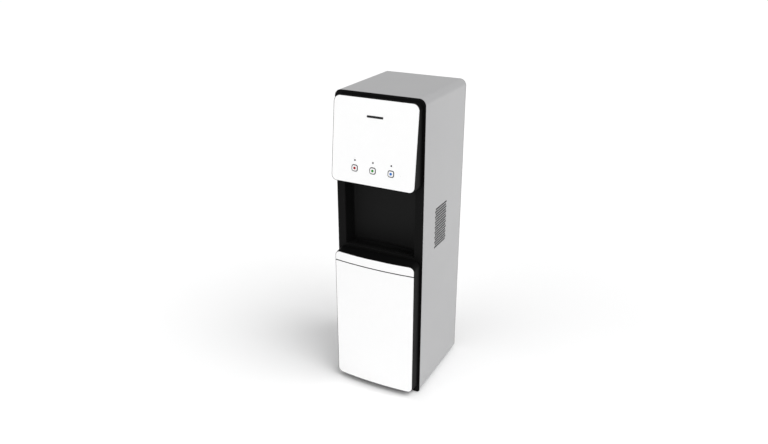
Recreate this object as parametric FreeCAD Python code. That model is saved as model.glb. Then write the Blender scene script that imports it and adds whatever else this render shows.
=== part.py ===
import FreeCAD, Part

import math
import os

from FreeCAD import Placement, Rotation, Vector

# Free-standing bottom-loading water dispenser: hot, room-temperature and chilled water.
# Millimetres. +Z up, front faces -Y, X to the right when facing the front is -X to +X.
# The origin is on the floor, under the middle of the whole machine's box.

# ---------------------------------------------------------------- driving dimensions
# Cabinet
BODY_WIDTH = 310.0
BODY_DEPTH = 321.0            # face of the bezel to the outside of the rear cover
FOOT_HEIGHT = 14.0
BAY_HEIGHT = 468.5            # clear height of the bottle compartment
TRAY_ZONE = 28.5              # from the middle shelf up to the floor of the niche
NICHE_HEIGHT = 237.0
HEAD_HEIGHT = 283.0           # roof of the niche to the top of the cabinet
SHELL_SHEET = 1.0
TOP_RADIUS = 22.0             # rolled long edges of the wrap-over shell
SHELL_FLANGE = 12.0           # inward return along the shell's rear edge
BASE_SHEET = 1.5
BASE_LIP = 18.0
SHELF_LIP = 14.0
FOOT_RADIUS = 16.0
FOOT_TAPER = 2.0
FOOT_STUD = 4.0
FOOT_STUD_ROOT = 1.0           # how far the stud starts inside the rubber
FOOT_INSET = 34.0
FOOT_NUT = 5.0
COVER_LOW_RADIUS = 0.01        # square lower corners
COVER_THICKNESS = 2.5         # moulded rear cover, also the depth of its visible dark edge

# Front bezel
BEZEL_THICKNESS = 2.5
BEZEL_FLOOR_GAP = 1.5
BEZEL_LOW_RADIUS = 9.0
BEZEL_SKIRT = 12.0            # rim that plugs into the shell
BEZEL_SKIRT_WALL = 2.0
BAY_SIDE_MARGIN = 20.0        # cabinet side to the edge of the bottle opening
BAY_SILL = 16.0               # height of the sill above the base plate
BAY_HEADER = 8.0              # header below the middle shelf
BAY_RADIUS = 8.0
SKIRT_LOW_RADIUS = 1.0
WIRE_HOLE_RADIUS = 14.0

# Dispensing niche
NICHE_SIDE_MARGIN = 29.0      # cabinet side to the niche's side wall
NICHE_SIDE_DEPTH = 52.0
NICHE_CENTRE_DEPTH = 68.0
NICHE_WALL = 2.0
NICHE_FLANGE = 9.0

# Drip tray, its slanted front wall and its lift-off cover
TRAY_SIDE_MARGIN = 14.0       # niche wall to the tray's well
TRAY_FRONT_LAND = 8.0
TRAY_WELL_LENGTH = 42.0
TRAY_WELL_DEPTH = 20.0
TRAY_SLOPE_DEG = 50.0         # slope of the well's front wall and of the way the tray comes out
TRAY_WALL = 1.6
GRILLE_THICKNESS = 2.0
GRILLE_SLOT_WIDTH = 3.0
GRILLE_SLOT_PITCH = 7.0
GRILLE_BORDER = 8.0

# Control head: tilted panel on its wedge-shaped housing
PANEL_SIDE_MARGIN = 9.4       # cabinet side to the panel's edge at the front
HEAD_SIDE_MARGIN = 8.0        # cabinet side to the housing's edge at the bezel
PANEL_TOP_MARGIN = 11.0       # cabinet top down to the panel's top edge
PANEL_ROOF_GAP = 3.0          # niche roof up to the panel's bottom edge
PANEL_REACH_TOP = 19.7        # how far the panel's top edge stands in front of the bezel
PANEL_REACH_BOTTOM = 49.3
PANEL_TOP_RADIUS = 22.0
PANEL_LOW_RADIUS = 18.5
HEAD_REAR_DROP = 3.0          # housing is this much lower at the bezel than at the panel
HEAD_REAR_RISE = 2.0
HEAD_WALL = 2.6
RIM = 1.1                     # black rim left round each white face
PANEL_THICKNESS = 2.5

# Keys on the panel
KEY_PITCH = 63.2
KEY_HEIGHT_UP = 49.6          # up the panel from its bottom edge
KEY_SIZE = 16.4
KEY_RADIUS = 4.4
KEY_RING_BAND = 2.6           # width of the dark ring round a key
KEY_PROUD = 1.3
KEY_TRAVEL = 1.0
KEY_STEM_RADIUS = 2.0
KEY_STEM_IN_SWITCH = 2.5
KEY_FLANGE = 1.2               # retaining flange behind the ring, thickness
KEY_FLANGE_REACH = 0.8         # and its overlap beyond the ring on each side
DOT_RADIUS = 4.2
DOT_DEPTH = 0.6
DOT_PROUD = 0.1
LAMP_UP = 74.7
LAMP_RADIUS = 2.5
LAMP_PROUD = 0.3
BADGE_DOWN = 55.3             # down the panel from its top edge
BADGE_WIDTH = 56.0
BADGE_HEIGHT = 7.0
BADGE_THICKNESS = 0.6
BADGE_RADIUS = 2.4
BOARD_DEPTH = 16.0            # panel face to the front of the key board
BOARD_THICKNESS = 1.6
BOARD_BORDER = 24.0            # outer keys to the board's ends
BOARD_BELOW = 21.0             # keys down to its lower edge
BOARD_ABOVE = 18.0             # lamps up to its upper edge
BOSS_RADIUS = 3.5
BOSS_BORDER = 18.0             # outer keys to the bosses
BOSS_BELOW = 15.0
BOSS_ABOVE = 12.0
SWITCH_SIZE = 12.0
SWITCH_DEPTH = 5.0
SWITCH_FLOOR = 0.8

# Door
DOOR_GAP = 1.5
DOOR_SIDE_MARGIN_REAR = 7.0
DOOR_SIDE_MARGIN_FRONT = 9.4
DOOR_TOP_DROP = 9.0           # niche floor down to the door's rear top edge
DOOR_TOP_SLOPE = 4.7          # the top face falls this much towards the front
DOOR_LOW_GAP = 4.0            # base plane of the cabinet up to the door's rear bottom edge
DOOR_LOW_SLOPE = 2.4
DOOR_EDGE_REACH = 39.3        # bezel to the front face at the door's side edges
DOOR_BOW = 8.7                # extra reach in the middle
DOOR_RADIUS = 18.0
DOOR_WALL = 3.0
DOOR_FACE_THICKNESS = 2.6
SEAM_DOWN = 34.2              # door top edge down to the groove
SEAM_HEIGHT = 3.8
INNER_PANEL_THICKNESS = 2.0
INNER_PANEL_LOW_RADIUS = 3.0
INNER_PANEL_TOP_RADIUS = 14.0
DOOR_SIDE_WALL = 5.0           # wall round the door's hollow
DOOR_SWING_DEG = 95.0

# Door hinges on the left side
HINGE_INSET = 10.0            # pin to the door's left edge
HINGE_SETBACK = 15.0          # pin to the rear face of the door
HINGE_ROUND = 7.0             # rounding of the door's hinge-side rear edge
HINGE_PIN_RADIUS = 3.0
HINGE_PIN_REACH = 9.0         # length of pin beyond its tab
HINGE_LEAF = 3.0
HINGE_LEAF_HALF = 7.0
HINGE_FLANGE = 26.0           # height of the tab's screw flange behind the bezel
HINGE_UPPER_DOWN = 16.0       # door top down to the upper tab's notch
NOTCH_HEIGHT = 6.0
HINGE_BLOCK_HALF = 12.0
HINGE_PIN_COVER = 5.0          # plastic beyond the end of a pin
NOTCH_EASE = 1.5               # notch beyond the tab on every side

# Latch
MAGNET_WIDTH = 26.0
MAGNET_HEIGHT = 10.0
MAGNET_DEPTH = 6.0
STRIKE_SHEET = 1.0

# Working parts
COMPRESSOR_RADIUS = 62.0
COMPRESSOR_HEIGHT = 165.0
COMPRESSOR_WALL = 7.0          # shell with the motor's iron spread over it
COMPRESSOR_DOME = 26.0         # rounding of both ends
COMPRESSOR_SIDE_GAP = 18.0     # feet to the tanks' side margin
SEAM_RING_REACH = 3.0
SEAM_RING_HEIGHT = 5.0
SEAM_RING_UP = 90.0
COMPRESSOR_FOOT_REACH = 8.0
COMPRESSOR_FOOT_SHEET = 3.0
COMPRESSOR_BOLT_RADIUS = 4.0
COMPRESSOR_BOLT_INSET = 2.0    # bolt holes inside the line of the pot's side
SUCTION_STUB = 10.0
SUCTION_STUB_WALL = 1.0
SUCTION_BEND = 5.0
COPPER_WALL = 1.0
GROMMET_HEIGHT = 12.0
GROMMET_RADIUS = 9.0
PUMP_RADIUS = 26.0
PUMP_HEIGHT = 78.0
PUMP_COLLAR_UP = 30.0
PUMP_COLLAR_HEIGHT = 8.0
PUMP_COLLAR_REACH = 3.0
PUMP_STUB = 8.0
BRACKET_SHEET = 1.5
BRACKET_LIP = 16.0
LINE_EASE = 2.0                # hole in the bracket beyond the line through it
RISER_FORWARD = 40.0           # pump riser in front of the middle of the chamber
SUCTION_BACK = 30.0            # suction line behind it
BRACKET_DROP = 22.0           # niche roof down to the tank bracket
HOT_RADIUS = 44.0
HOT_JACKET = 10.0
HOT_TANK_EASE = 3.0            # jacket's bore to the tank, taken up by the heater band
TANK_SHEET = 1.0
HEATER_LOW = 24.0
HEATER_HEIGHT = 34.0
TANK_HEADROOM = 58.0          # cabinet top down to the top of the tanks
FOAM = 20.0
TANK_GAP = 27.0               # between the hot jacket and the cold block
TANK_MARGIN = 14.0            # from the cabinet sides
COIL_TUBE_RADIUS = 3.0
COIL_TURNS = 8
COIL_GAP = 0.5                 # coil to the cold tank
COIL_ROOM = 1.0                # coil to the foam
COIL_END = 12.0                # tank's ends to the first and last ring
COIL_RISER_RADIUS = 2.4
COIL_RISER_DEG = 25.0
CONDENSER_DEPTH = 26.0        # from the rear cover to the front of the condenser's space
CONDENSER_MARGIN = 34.0
CONDENSER_LOW = 92.0          # above the middle shelf
CONDENSER_ROWS = 14
CONDENSER_TUBE_RADIUS = 2.4
CONDENSER_STAND_OFF = 10.0     # shell flange to the serpentine
CONDENSER_BEND = 9.0
WIRE_OVERRUN = 6.0
WIRE_MARGIN = 16.0
WIRE_WELD_GAP = 0.05
WIRE_RADIUS = 0.8
WIRE_PITCH = 8.0
MAIN_BOARD_HALF = 70.0
MAIN_BOARD_SIDE_GAP = 30.0
MAIN_BOARD_HEIGHT = 90.0
MAIN_BOARD_UP = 40.0           # valves up to the board
MAIN_BOARD_STAND_OFF = 8.0
# block on the board: across, up, width, height, depth
MAIN_BOARD_BLOCKS = ((-40.0, 50.0, 36.0, 30.0, 24.0), (15.0, 60.0, 18.0, 18.0, 16.0),
                     (38.0, 30.0, 12.0, 20.0, 20.0), (-5.0, 22.0, 24.0, 14.0, 10.0))
VALVE_PITCH = 46.0
VALVE_SIZE = 30.0
VALVE_HEIGHT = 42.0
VALVE_DEPTH = 28.0
VALVE_COIL_RADIUS = 13.0
VALVE_COIL_HEIGHT = 26.0
VALVE_PORT = 8.0               # length of the inlet stub behind the valve
STUB_WALL = 1.5                # stub is this much larger than its hose
NOZZLE_RADIUS = 9.0
NOZZLE_TIP_RADIUS = 6.0
NOZZLE_BORE = 3.5
NOZZLE_DROP = 24.0
NOZZLE_SHOULDER = 13.2         # roof down to where the taper starts
NOZZLE_DEPTH = 20.0           # bezel to the nozzle's axis
TUBE_RADIUS = 4.5
TUBE_BORE = 3.0
HOT_LINE_BEND = 8.0
RISER_BEND = 6.5
RISER_KNEE = 60.0              # tank bracket down to the riser's cross run
RISER_STAND_OFF = 14.0         # riser's top run behind the valves' stubs

# Side vents
VENT_FRONT = 94.0             # bezel to the first hole of a row
VENT_LOW = 0.2                # niche floor up to the lowest row
VENT_ROWS = 16
VENT_COLUMNS = 10
VENT_PITCH_UP = 8.95
VENT_PITCH_ALONG = 9.0
VENT_HOLE_LENGTH = 7.3
VENT_HOLE_HEIGHT = 6.6
VENT_HOLE_RADIUS = 1.6

# Rear fittings
SERVICE_UP = 44.0             # middle shelf up to the row of rear fittings
REAR_REACH = 5.0              # how far the rear fittings stand out behind the cover
LOUVRE_LENGTH = 62.0
LOUVRE_HEIGHT = 5.0
LOUVRE_PITCH = 15.0
LOUVRE_COLUMNS = 3
LOUVRE_WEB = 10.0              # between two columns of slots
LOUVRE_END_EASE = 0.1          # keeps a short flat between a slot's end roundings
ROCKER_WIDTH = 13.0
ROCKER_HEIGHT = 20.0
ROCKER_TILT_DEG = 10.0        # either way from level
ROCKER_PIN_DEPTH = 1.4        # pin to the outside of the rear cover
ROCKER_PIN_RADIUS = 1.3
ROCKER_PITCH = 26.0
ROCKER_FRAME_BORDER = 4.5
ROCKER_FRAME_FLANGE = 2.0
ROCKER_FRAME_RADIUS = 3.0
ROCKER_FRAME_DEPTH = 20.0
ROCKER_WELL_DEPTH = 17.0
ROCKER_VALLEY = 3.0            # pin out to the bottom of the V
ROCKER_END_EASE = 0.8
# underside of the rocker, from the pin: out, up
ROCKER_UNDERSIDE = ((-3.2, -5.5), (-3.2, 5.5))
ROCKER_SHOULDER = 0.5
INLET_SIDE_GAP = 60.0          # cabinet side to the middle of the inlet
INLET_WIDTH = 48.0
INLET_HEIGHT = 28.0
INLET_DEPTH = 22.0             # body behind the cover's outside
INLET_FLANGE = 2.5
INLET_FLANGE_RADIUS = 4.0
SOCKET_WIDTH = 24.0
SOCKET_HEIGHT = 16.0
SOCKET_DEPTH = 16.5
SOCKET_LOW_RADIUS = 1.5
SOCKET_TOP_RADIUS = 5.0
BLADE_WIDTH = 2.0
BLADE_HEIGHT = 4.0
BLADE_LENGTH = 8.0
BLADE_PLACES = ((-7.0, -1.5), (0.0, 3.0), (7.0, -1.5))
FLANGE_OVERLAP = 3.0           # flanges of the rear fittings over their cut-outs
DRAIN_RADIUS = 9.0
DRAIN_PITCH = 34.0
DRAIN_SIDE_GAP = 70.0          # cabinet side to the middle of the pair
DRAIN_GRIP_HALF = 1.4
DRAIN_GRIP_SINK = 2.5
DRAIN_DISH = 7.0
SPOUT_RADIUS = 6.0
SPOUT_LENGTH = 16.0
SCREW_RADIUS = 1.9
SCREW_HEAD_RADIUS = 3.6
SCREW_HEAD = 2.0
SCREW_ROWS = 5
SCREW_LOW = 30.0               # foot height up to the lowest screw
SCREW_TOP_GAP = 20.0
SCREW_CROSS_HALF = 2.4
SCREW_CROSS_WALL = 0.5
SCREW_CROSS_DEPTH = 0.8

# Bottle probe
PROBE_RADIUS = 7.0
PROBE_LENGTH = 330.0
PROBE_CAP_RADIUS = 25.0
PROBE_CAP_HEIGHT = 24.0
PROBE_TOP_DROP = 100.0        # shelf down to the top of the parked probe
PROBE_LIFT = 40.0
HOSE_RADIUS = 6.0
HOSE_WALL = 2.0
CLIP_HEIGHT = 8.0
CLIP_OVERLAP = 4.0             # cap beyond the clip's ring
CLIP_ARM_HALF = 10.0
CLIP_FLANGE_SHEET = 3.0
CLIP_FLANGE_HALF = 20.0
CLIP_FLANGE_DOWN = 30.0
CLIP_FLANGE_UP = 6.0
PROBE_CAP_ROUND = 2.0
PROBE_SIDE_GAP = 42.0          # cabinet wall to the probe's axis
PROBE_REAR_GAP = 48.0

# Clearances
FIT = 0.15                    # face to face, assembled and still
RUN = 0.3                     # between pieces that move past each other
PIN_FIT = 0.06                # pin in its bore, radius
PIN_END = 1.0                 # room past the end of a pin or stem
THROUGH = 5.0                 # how far cutting tools run past a face

# ---------------------------------------------------------------- worked-out places
TOTAL_DEPTH = PANEL_REACH_BOTTOM + BODY_DEPTH + REAR_REACH
FACE = PANEL_REACH_BOTTOM - TOTAL_DEPTH / 2.0
BACK = FACE + BODY_DEPTH
HALF = BODY_WIDTH / 2.0
INNER = HALF - SHELL_SHEET
BASE_TOP = FOOT_HEIGHT + BASE_SHEET
SHELF_TOP = BASE_TOP + BAY_HEIGHT + BASE_SHEET
KEY_RING_SIZE = KEY_SIZE + 2.0 * KEY_RING_BAND
KEY_RING_RADIUS = KEY_RADIUS + KEY_RING_BAND
NICHE_FLOOR = SHELF_TOP + TRAY_ZONE
NICHE_ROOF = NICHE_FLOOR + NICHE_HEIGHT
TOP = NICHE_ROOF + HEAD_HEIGHT
SHELL_FRONT = FACE + BEZEL_THICKNESS
SHELL_REAR = BACK - COVER_THICKNESS
NICHE_HALF = HALF - NICHE_SIDE_MARGIN
CHAMBER_FRONT = FACE + BEZEL_THICKNESS + NICHE_CENTRE_DEPTH + 2.0 * NICHE_WALL
CHAMBER_REAR = SHELL_REAR - CONDENSER_DEPTH
CHAMBER_MID = (CHAMBER_FRONT + CHAMBER_REAR) / 2.0
BRACKET_TOP = NICHE_ROOF - BRACKET_DROP
TANK_TOP = TOP - TANK_HEADROOM

PANEL_HALF = HALF - PANEL_SIDE_MARGIN
PANEL_LOW = NICHE_ROOF + PANEL_ROOF_GAP
PANEL_HIGH = TOP - PANEL_TOP_MARGIN
PANEL_LENGTH = math.hypot(PANEL_HIGH - PANEL_LOW, PANEL_REACH_BOTTOM - PANEL_REACH_TOP)
PANEL_TILT = math.degrees(math.asin((PANEL_REACH_BOTTOM - PANEL_REACH_TOP) / PANEL_LENGTH))

DOOR_TOP = NICHE_FLOOR - DOOR_TOP_DROP
DOOR_LOW = FOOT_HEIGHT + DOOR_LOW_GAP
DOOR_HALF = HALF - DOOR_SIDE_MARGIN_REAR
DOOR_HALF_FRONT = HALF - DOOR_SIDE_MARGIN_FRONT
DOOR_REAR = FACE - DOOR_GAP
DOOR_FRONT = FACE - DOOR_EDGE_REACH - DOOR_BOW
BOW_RADIUS = (DOOR_HALF_FRONT ** 2 + DOOR_BOW ** 2) / (2.0 * DOOR_BOW)
HINGE_X = -DOOR_HALF + HINGE_INSET
HINGE_Y = DOOR_REAR - HINGE_SETBACK
NOTCH_TOP = DOOR_TOP - HINGE_UPPER_DOWN
UPPER_LEAF = NOTCH_TOP - (NOTCH_HEIGHT + HINGE_LEAF) / 2.0
LOWER_LEAF = DOOR_LOW - RUN - HINGE_LEAF - RUN

PROBE_X = -(INNER - PROBE_SIDE_GAP)
PROBE_Y = CHAMBER_REAR - PROBE_REAR_GAP
PROBE_TOP = SHELF_TOP - BASE_SHEET - PROBE_TOP_DROP
SERVICE = SHELF_TOP + SERVICE_UP
HOT_X = -INNER + TANK_MARGIN + HOT_JACKET + HOT_RADIUS
COLD_LEFT = HOT_X + HOT_RADIUS + HOT_JACKET + TANK_GAP
COLD_RIGHT = INNER - TANK_MARGIN
COLD_X = (COLD_LEFT + COLD_RIGHT) / 2.0
COLD_HALF_DEPTH = (CHAMBER_REAR - CHAMBER_FRONT) / 2.0 - TANK_MARGIN
COLD_RADIUS = min((COLD_RIGHT - COLD_LEFT) / 2.0, COLD_HALF_DEPTH) - FOAM
VALVE_Y = FACE + NOZZLE_DEPTH
VALVE_LOW = NICHE_ROOF + NICHE_WALL
VALVE_PORT_END = VALVE_Y + VALVE_DEPTH / 2.0 + VALVE_PORT
PORT_HEIGHT = VALVE_LOW + VALVE_HEIGHT / 2.0
COMPRESSOR_X = INNER - TANK_MARGIN - COMPRESSOR_SIDE_GAP - COMPRESSOR_RADIUS

X_AXIS = Vector(1, 0, 0)
Y_AXIS = Vector(0, 1, 0)
Z_AXIS = Vector(0, 0, 1)


# ---------------------------------------------------------------- shape helpers
def box(x0, x1, y0, y1, z0, z1):
    return Part.makeBox(x1 - x0, y1 - y0, z1 - z0, Vector(x0, y0, z0))


def rod(radius, start, end):
    line = end - start
    return Part.makeCylinder(radius, line.Length, start, line)


def fused(shapes):
    return shapes[0].multiFuse(list(shapes[1:])).removeSplitter()


def outline(x0, x1, z0, z1, low, high, y=0.0):
    """Rounded rectangle facing -Y; low and high are the radii of its bottom and top corners."""
    bend = math.sqrt(0.5)

    def point(x, z):
        return Vector(x, y, z)

    def corner(cx, cz, radius, sx, sz, first_vertical):
        side = point(cx + sx * radius, cz)
        end = point(cx, cz + sz * radius)
        middle = point(cx + sx * radius * bend, cz + sz * radius * bend)
        ends = (side, middle, end) if first_vertical else (end, middle, side)
        return Part.Arc(*ends).toShape()

    edges = [
        Part.makeLine(point(x0 + low, z0), point(x1 - low, z0)),
        corner(x1 - low, z0 + low, low, 1, -1, False),
        Part.makeLine(point(x1, z0 + low), point(x1, z1 - high)),
        corner(x1 - high, z1 - high, high, 1, 1, True),
        Part.makeLine(point(x1 - high, z1), point(x0 + high, z1)),
        corner(x0 + high, z1 - high, high, -1, 1, False),
        Part.makeLine(point(x0, z1 - high), point(x0, z0 + low)),
        corner(x0 + low, z0 + low, low, -1, -1, True),
    ]
    return Part.Wire(edges)


def plate(x0, x1, z0, z1, low, high, y0, y1):
    """Plate facing -Y with rounded corners, between the depths y0 and y1."""
    return Part.Face(outline(x0, x1, z0, z1, low, high, y0)).extrude(Vector(0, y1 - y0, 0))


def on_panel(shape):
    """Carries a shape drawn upright, from the middle of its bottom edge, onto the tilted panel."""
    moved = shape.copy()
    place = Placement(Vector(0, FACE - PANEL_REACH_BOTTOM, PANEL_LOW), Rotation(X_AXIS, -PANEL_TILT))
    moved.Placement = place.multiply(moved.Placement)
    return moved


def tube(points, bend, radius, bore):
    """Round tube along straight runs joined by arcs of one bend radius."""
    edges = []
    start = points[0]
    for before, corner, after in zip(points, points[1:], points[2:]):
        back = (before - corner).normalize()
        ahead = (after - corner).normalize()
        half_turn = back.getAngle(ahead) / 2.0
        first = corner + back * (bend / math.tan(half_turn))
        last = corner + ahead * (bend / math.tan(half_turn))
        middle_way = (back + ahead).normalize()
        middle = corner + middle_way * (bend / math.sin(half_turn) - bend)
        edges.append(Part.makeLine(start, first))
        edges.append(Part.Arc(first, middle, last).toShape())
        start = last
    edges.append(Part.makeLine(start, points[-1]))
    path = Part.Wire(edges)
    way = points[1] - points[0]
    solid = path.makePipe(Part.Face(Part.Wire(Part.makeCircle(radius, points[0], way))))
    if bore:
        solid = solid.cut(path.makePipe(Part.Face(Part.Wire(Part.makeCircle(bore, points[0], way)))))
    return solid


def group(shapes):
    return Part.makeCompound(shapes)


def key_places():
    return [(-KEY_PITCH, "hot"), (0.0, "ambient"), (KEY_PITCH, "cold")]


# ---------------------------------------------------------------- cabinet
def side_vents():
    """Staggered rows of rounded holes, punched straight through both sides of the shell."""
    reach = HALF + THROUGH
    punch = plate(0, VENT_HOLE_LENGTH, 0, VENT_HOLE_HEIGHT, VENT_HOLE_RADIUS, VENT_HOLE_RADIUS,
                  -reach, reach)
    punch.rotate(Vector(0, 0, 0), Z_AXIS, 90.0)
    holes = []
    for row in range(VENT_ROWS):
        stagger = VENT_PITCH_ALONG / 2.0 if row % 2 else 0.0
        for step in range(VENT_COLUMNS):
            y = FACE + VENT_FRONT + stagger + step * VENT_PITCH_ALONG
            z = NICHE_FLOOR + VENT_LOW + row * VENT_PITCH_UP
            holes.append(punch.translated(Vector(0, y, z)))
    return group(holes)


def cabinet_shell():
    """One sheet rolled over both sides and the top, returned inwards along the rear."""
    low = FOOT_HEIGHT
    skin = box(-HALF, HALF, SHELL_FRONT, SHELL_REAR, low, TOP - TOP_RADIUS)
    skin = skin.fuse(box(-HALF + TOP_RADIUS, HALF - TOP_RADIUS, SHELL_FRONT, SHELL_REAR,
                         TOP - TOP_RADIUS, TOP))
    for side in (-1, 1):
        centre = Vector(side * (HALF - TOP_RADIUS), SHELL_FRONT, TOP - TOP_RADIUS)
        skin = skin.fuse(Part.makeCylinder(TOP_RADIUS, SHELL_REAR - SHELL_FRONT, centre, Y_AXIS))
    skin = skin.removeSplitter()

    def room(inset, y0, y1):
        radius = TOP_RADIUS - min(inset, TOP_RADIUS - 2.0)
        half = HALF - inset
        top = TOP - inset
        hollow = [
            box(-half, half, y0, y1, low - THROUGH, top - radius),
            box(-half + radius, half - radius, y0, y1, top - radius - THROUGH, top),
        ]
        for side in (-1, 1):
            centre = Vector(side * (half - radius), y0, top - radius)
            hollow.append(Part.makeCylinder(radius, y1 - y0, centre, Y_AXIS))
        return fused(hollow)

    flange_face = SHELL_REAR - SHELL_SHEET
    skin = skin.cut(room(SHELL_SHEET, SHELL_FRONT - THROUGH, flange_face))
    skin = skin.cut(room(SHELL_FLANGE, flange_face - THROUGH, SHELL_REAR + THROUGH))
    return skin.cut(side_vents())


def base_plate():
    """Folded steel floor pan with a lip on every side."""
    y0 = SHELL_FRONT + BEZEL_SKIRT
    y1 = SHELL_REAR - SHELL_SHEET
    pan = box(-INNER, INNER, y0, y1, FOOT_HEIGHT, FOOT_HEIGHT + BASE_LIP)
    inside = box(-INNER + BASE_SHEET, INNER - BASE_SHEET, y0 + BASE_SHEET, y1 - BASE_SHEET,
                 BASE_TOP, FOOT_HEIGHT + BASE_LIP + THROUGH)
    pan = pan.cut(inside)
    for x, y in foot_places():
        pan = pan.cut(rod(FOOT_STUD + FIT, Vector(x, y, 0), Vector(x, y, BASE_TOP + THROUGH)))
    return pan


def foot_places():
    x = INNER - FOOT_INSET
    front = SHELL_FRONT + BEZEL_SKIRT + FOOT_INSET
    rear = SHELL_REAR - FOOT_INSET
    return [(sx * x, y) for sx in (-1, 1) for y in (front, rear)]


def rubber_feet():
    """Tapered rubber feet with their studs pushed through the floor pan."""
    feet = []
    for x, y in foot_places():
        foot = Part.makeCone(FOOT_RADIUS - FOOT_TAPER, FOOT_RADIUS, FOOT_HEIGHT, Vector(x, y, 0))
        stud = rod(FOOT_STUD, Vector(x, y, FOOT_HEIGHT - FOOT_STUD_ROOT),
                   Vector(x, y, BASE_TOP + FOOT_NUT))
        feet.append(fused([foot, stud]))
    return group(feet)


def middle_shelf():
    """Steel shelf between the bottle compartment and the machinery, lips turned down."""
    y0 = SHELL_FRONT + BEZEL_SKIRT
    y1 = SHELL_REAR - SHELL_SHEET
    under = SHELF_TOP - BASE_SHEET
    shelf = box(-INNER, INNER, y0, y1, SHELF_TOP - SHELF_LIP, SHELF_TOP)
    shelf = shelf.cut(box(-INNER + BASE_SHEET, INNER - BASE_SHEET, y0 + BASE_SHEET,
                          y1 - BASE_SHEET, SHELF_TOP - SHELF_LIP - THROUGH, under))
    hole = rod(HOSE_RADIUS + FIT, Vector(PROBE_X, PROBE_Y, under - THROUGH),
               Vector(PROBE_X, PROBE_Y, SHELF_TOP + THROUGH))
    return shelf.cut(hole)


# ---------------------------------------------------------------- front bezel and niche
def bay_opening():
    """Edges of the bottle opening: left, right, bottom, top."""
    half = HALF - BAY_SIDE_MARGIN
    return -half, half, BASE_TOP + BAY_SILL, SHELF_TOP - BASE_SHEET - BAY_HEADER


def front_bezel():
    """Black moulded front frame with the niche and the bottle opening cut through."""
    frame = plate(-HALF, HALF, BEZEL_FLOOR_GAP, TOP, BEZEL_LOW_RADIUS, TOP_RADIUS, FACE, SHELL_FRONT)
    plug = INNER - FIT
    skirt_low = FOOT_HEIGHT
    skirt_top = TOP - SHELL_SHEET - FIT
    radius = TOP_RADIUS - SHELL_SHEET - FIT
    skirt = plate(-plug, plug, skirt_low, skirt_top, SKIRT_LOW_RADIUS, radius, SHELL_FRONT,
                  SHELL_FRONT + BEZEL_SKIRT - FIT)
    wall = BEZEL_SKIRT_WALL
    skirt = skirt.cut(plate(-plug + wall, plug - wall, skirt_low + wall, skirt_top - wall,
                            SKIRT_LOW_RADIUS, radius - wall,
                            SHELL_FRONT - THROUGH, SHELL_FRONT + BEZEL_SKIRT + THROUGH))
    bezel = fused([frame, skirt])
    left, right, low, high = bay_opening()
    bezel = bezel.cut(plate(left, right, low, high, BAY_RADIUS, BAY_RADIUS,
                            FACE - THROUGH, SHELL_FRONT + THROUGH))
    bezel = bezel.cut(box(-NICHE_HALF, NICHE_HALF, FACE - THROUGH, SHELL_FRONT + THROUGH,
                          NICHE_FLOOR, NICHE_ROOF))
    wires = Vector(0, FACE - THROUGH, (PANEL_LOW + PANEL_HIGH) / 2.0)
    bezel = bezel.cut(Part.makeCylinder(WIRE_HOLE_RADIUS, THROUGH * 3, wires, Y_AXIS))
    for leaf in (UPPER_LEAF, LOWER_LEAF):
        bezel = bezel.cut(box(HINGE_X - HINGE_LEAF_HALF - FIT, HINGE_X + HINGE_LEAF_HALF + FIT,
                              FACE - THROUGH, SHELL_FRONT + BEZEL_SKIRT,
                              leaf - FIT, leaf + HINGE_LEAF + FIT))
    return bezel.cut(strike_pocket())


def niche_plan(grow, z0, z1):
    """Niche outline seen from above, grown outwards, as an upright solid."""
    front = SHELL_FRONT
    side = FACE + NICHE_SIDE_DEPTH + grow
    deep = FACE + NICHE_CENTRE_DEPTH + grow
    half = NICHE_HALF + grow
    left_front = Vector(-half, front, z0)
    left_rear = Vector(-half, side, z0)
    right_rear = Vector(half, side, z0)
    right_front = Vector(half, front, z0)
    wire = Part.Wire([
        Part.makeLine(left_front, left_rear),
        Part.Arc(left_rear, Vector(0, deep, z0), right_rear).toShape(),
        Part.makeLine(right_rear, right_front),
        Part.makeLine(right_front, left_front),
    ])
    return Part.Face(wire).extrude(Vector(0, 0, z1 - z0))


def tray_well(shrink, top):
    """Well with one slanted front wall; shrink moves every wall and the floor inwards."""
    slope = math.radians(TRAY_SLOPE_DEG)
    half = NICHE_HALF - TRAY_SIDE_MARGIN - shrink
    floor = NICHE_FLOOR - TRAY_WELL_DEPTH + shrink
    front_at_floor = FACE + TRAY_FRONT_LAND + (NICHE_FLOOR - floor) / math.tan(slope)
    front_at_top = FACE + TRAY_FRONT_LAND + (NICHE_FLOOR - top) / math.tan(slope)
    ease = shrink / math.sin(slope)
    rear = FACE + TRAY_FRONT_LAND + TRAY_WELL_LENGTH - shrink
    corners = [
        Vector(-half, front_at_top + ease, top),
        Vector(-half, front_at_floor + ease, floor),
        Vector(-half, rear, floor),
        Vector(-half, rear, top),
    ]
    side = Part.Face(Part.makePolygon(corners + corners[:1]))
    return side.extrude(Vector(2.0 * half, 0, 0))


def nozzle_places():
    return [(-VALVE_PITCH, "hot"), (0.0, "ambient"), (VALVE_PITCH, "cold")]


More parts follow.
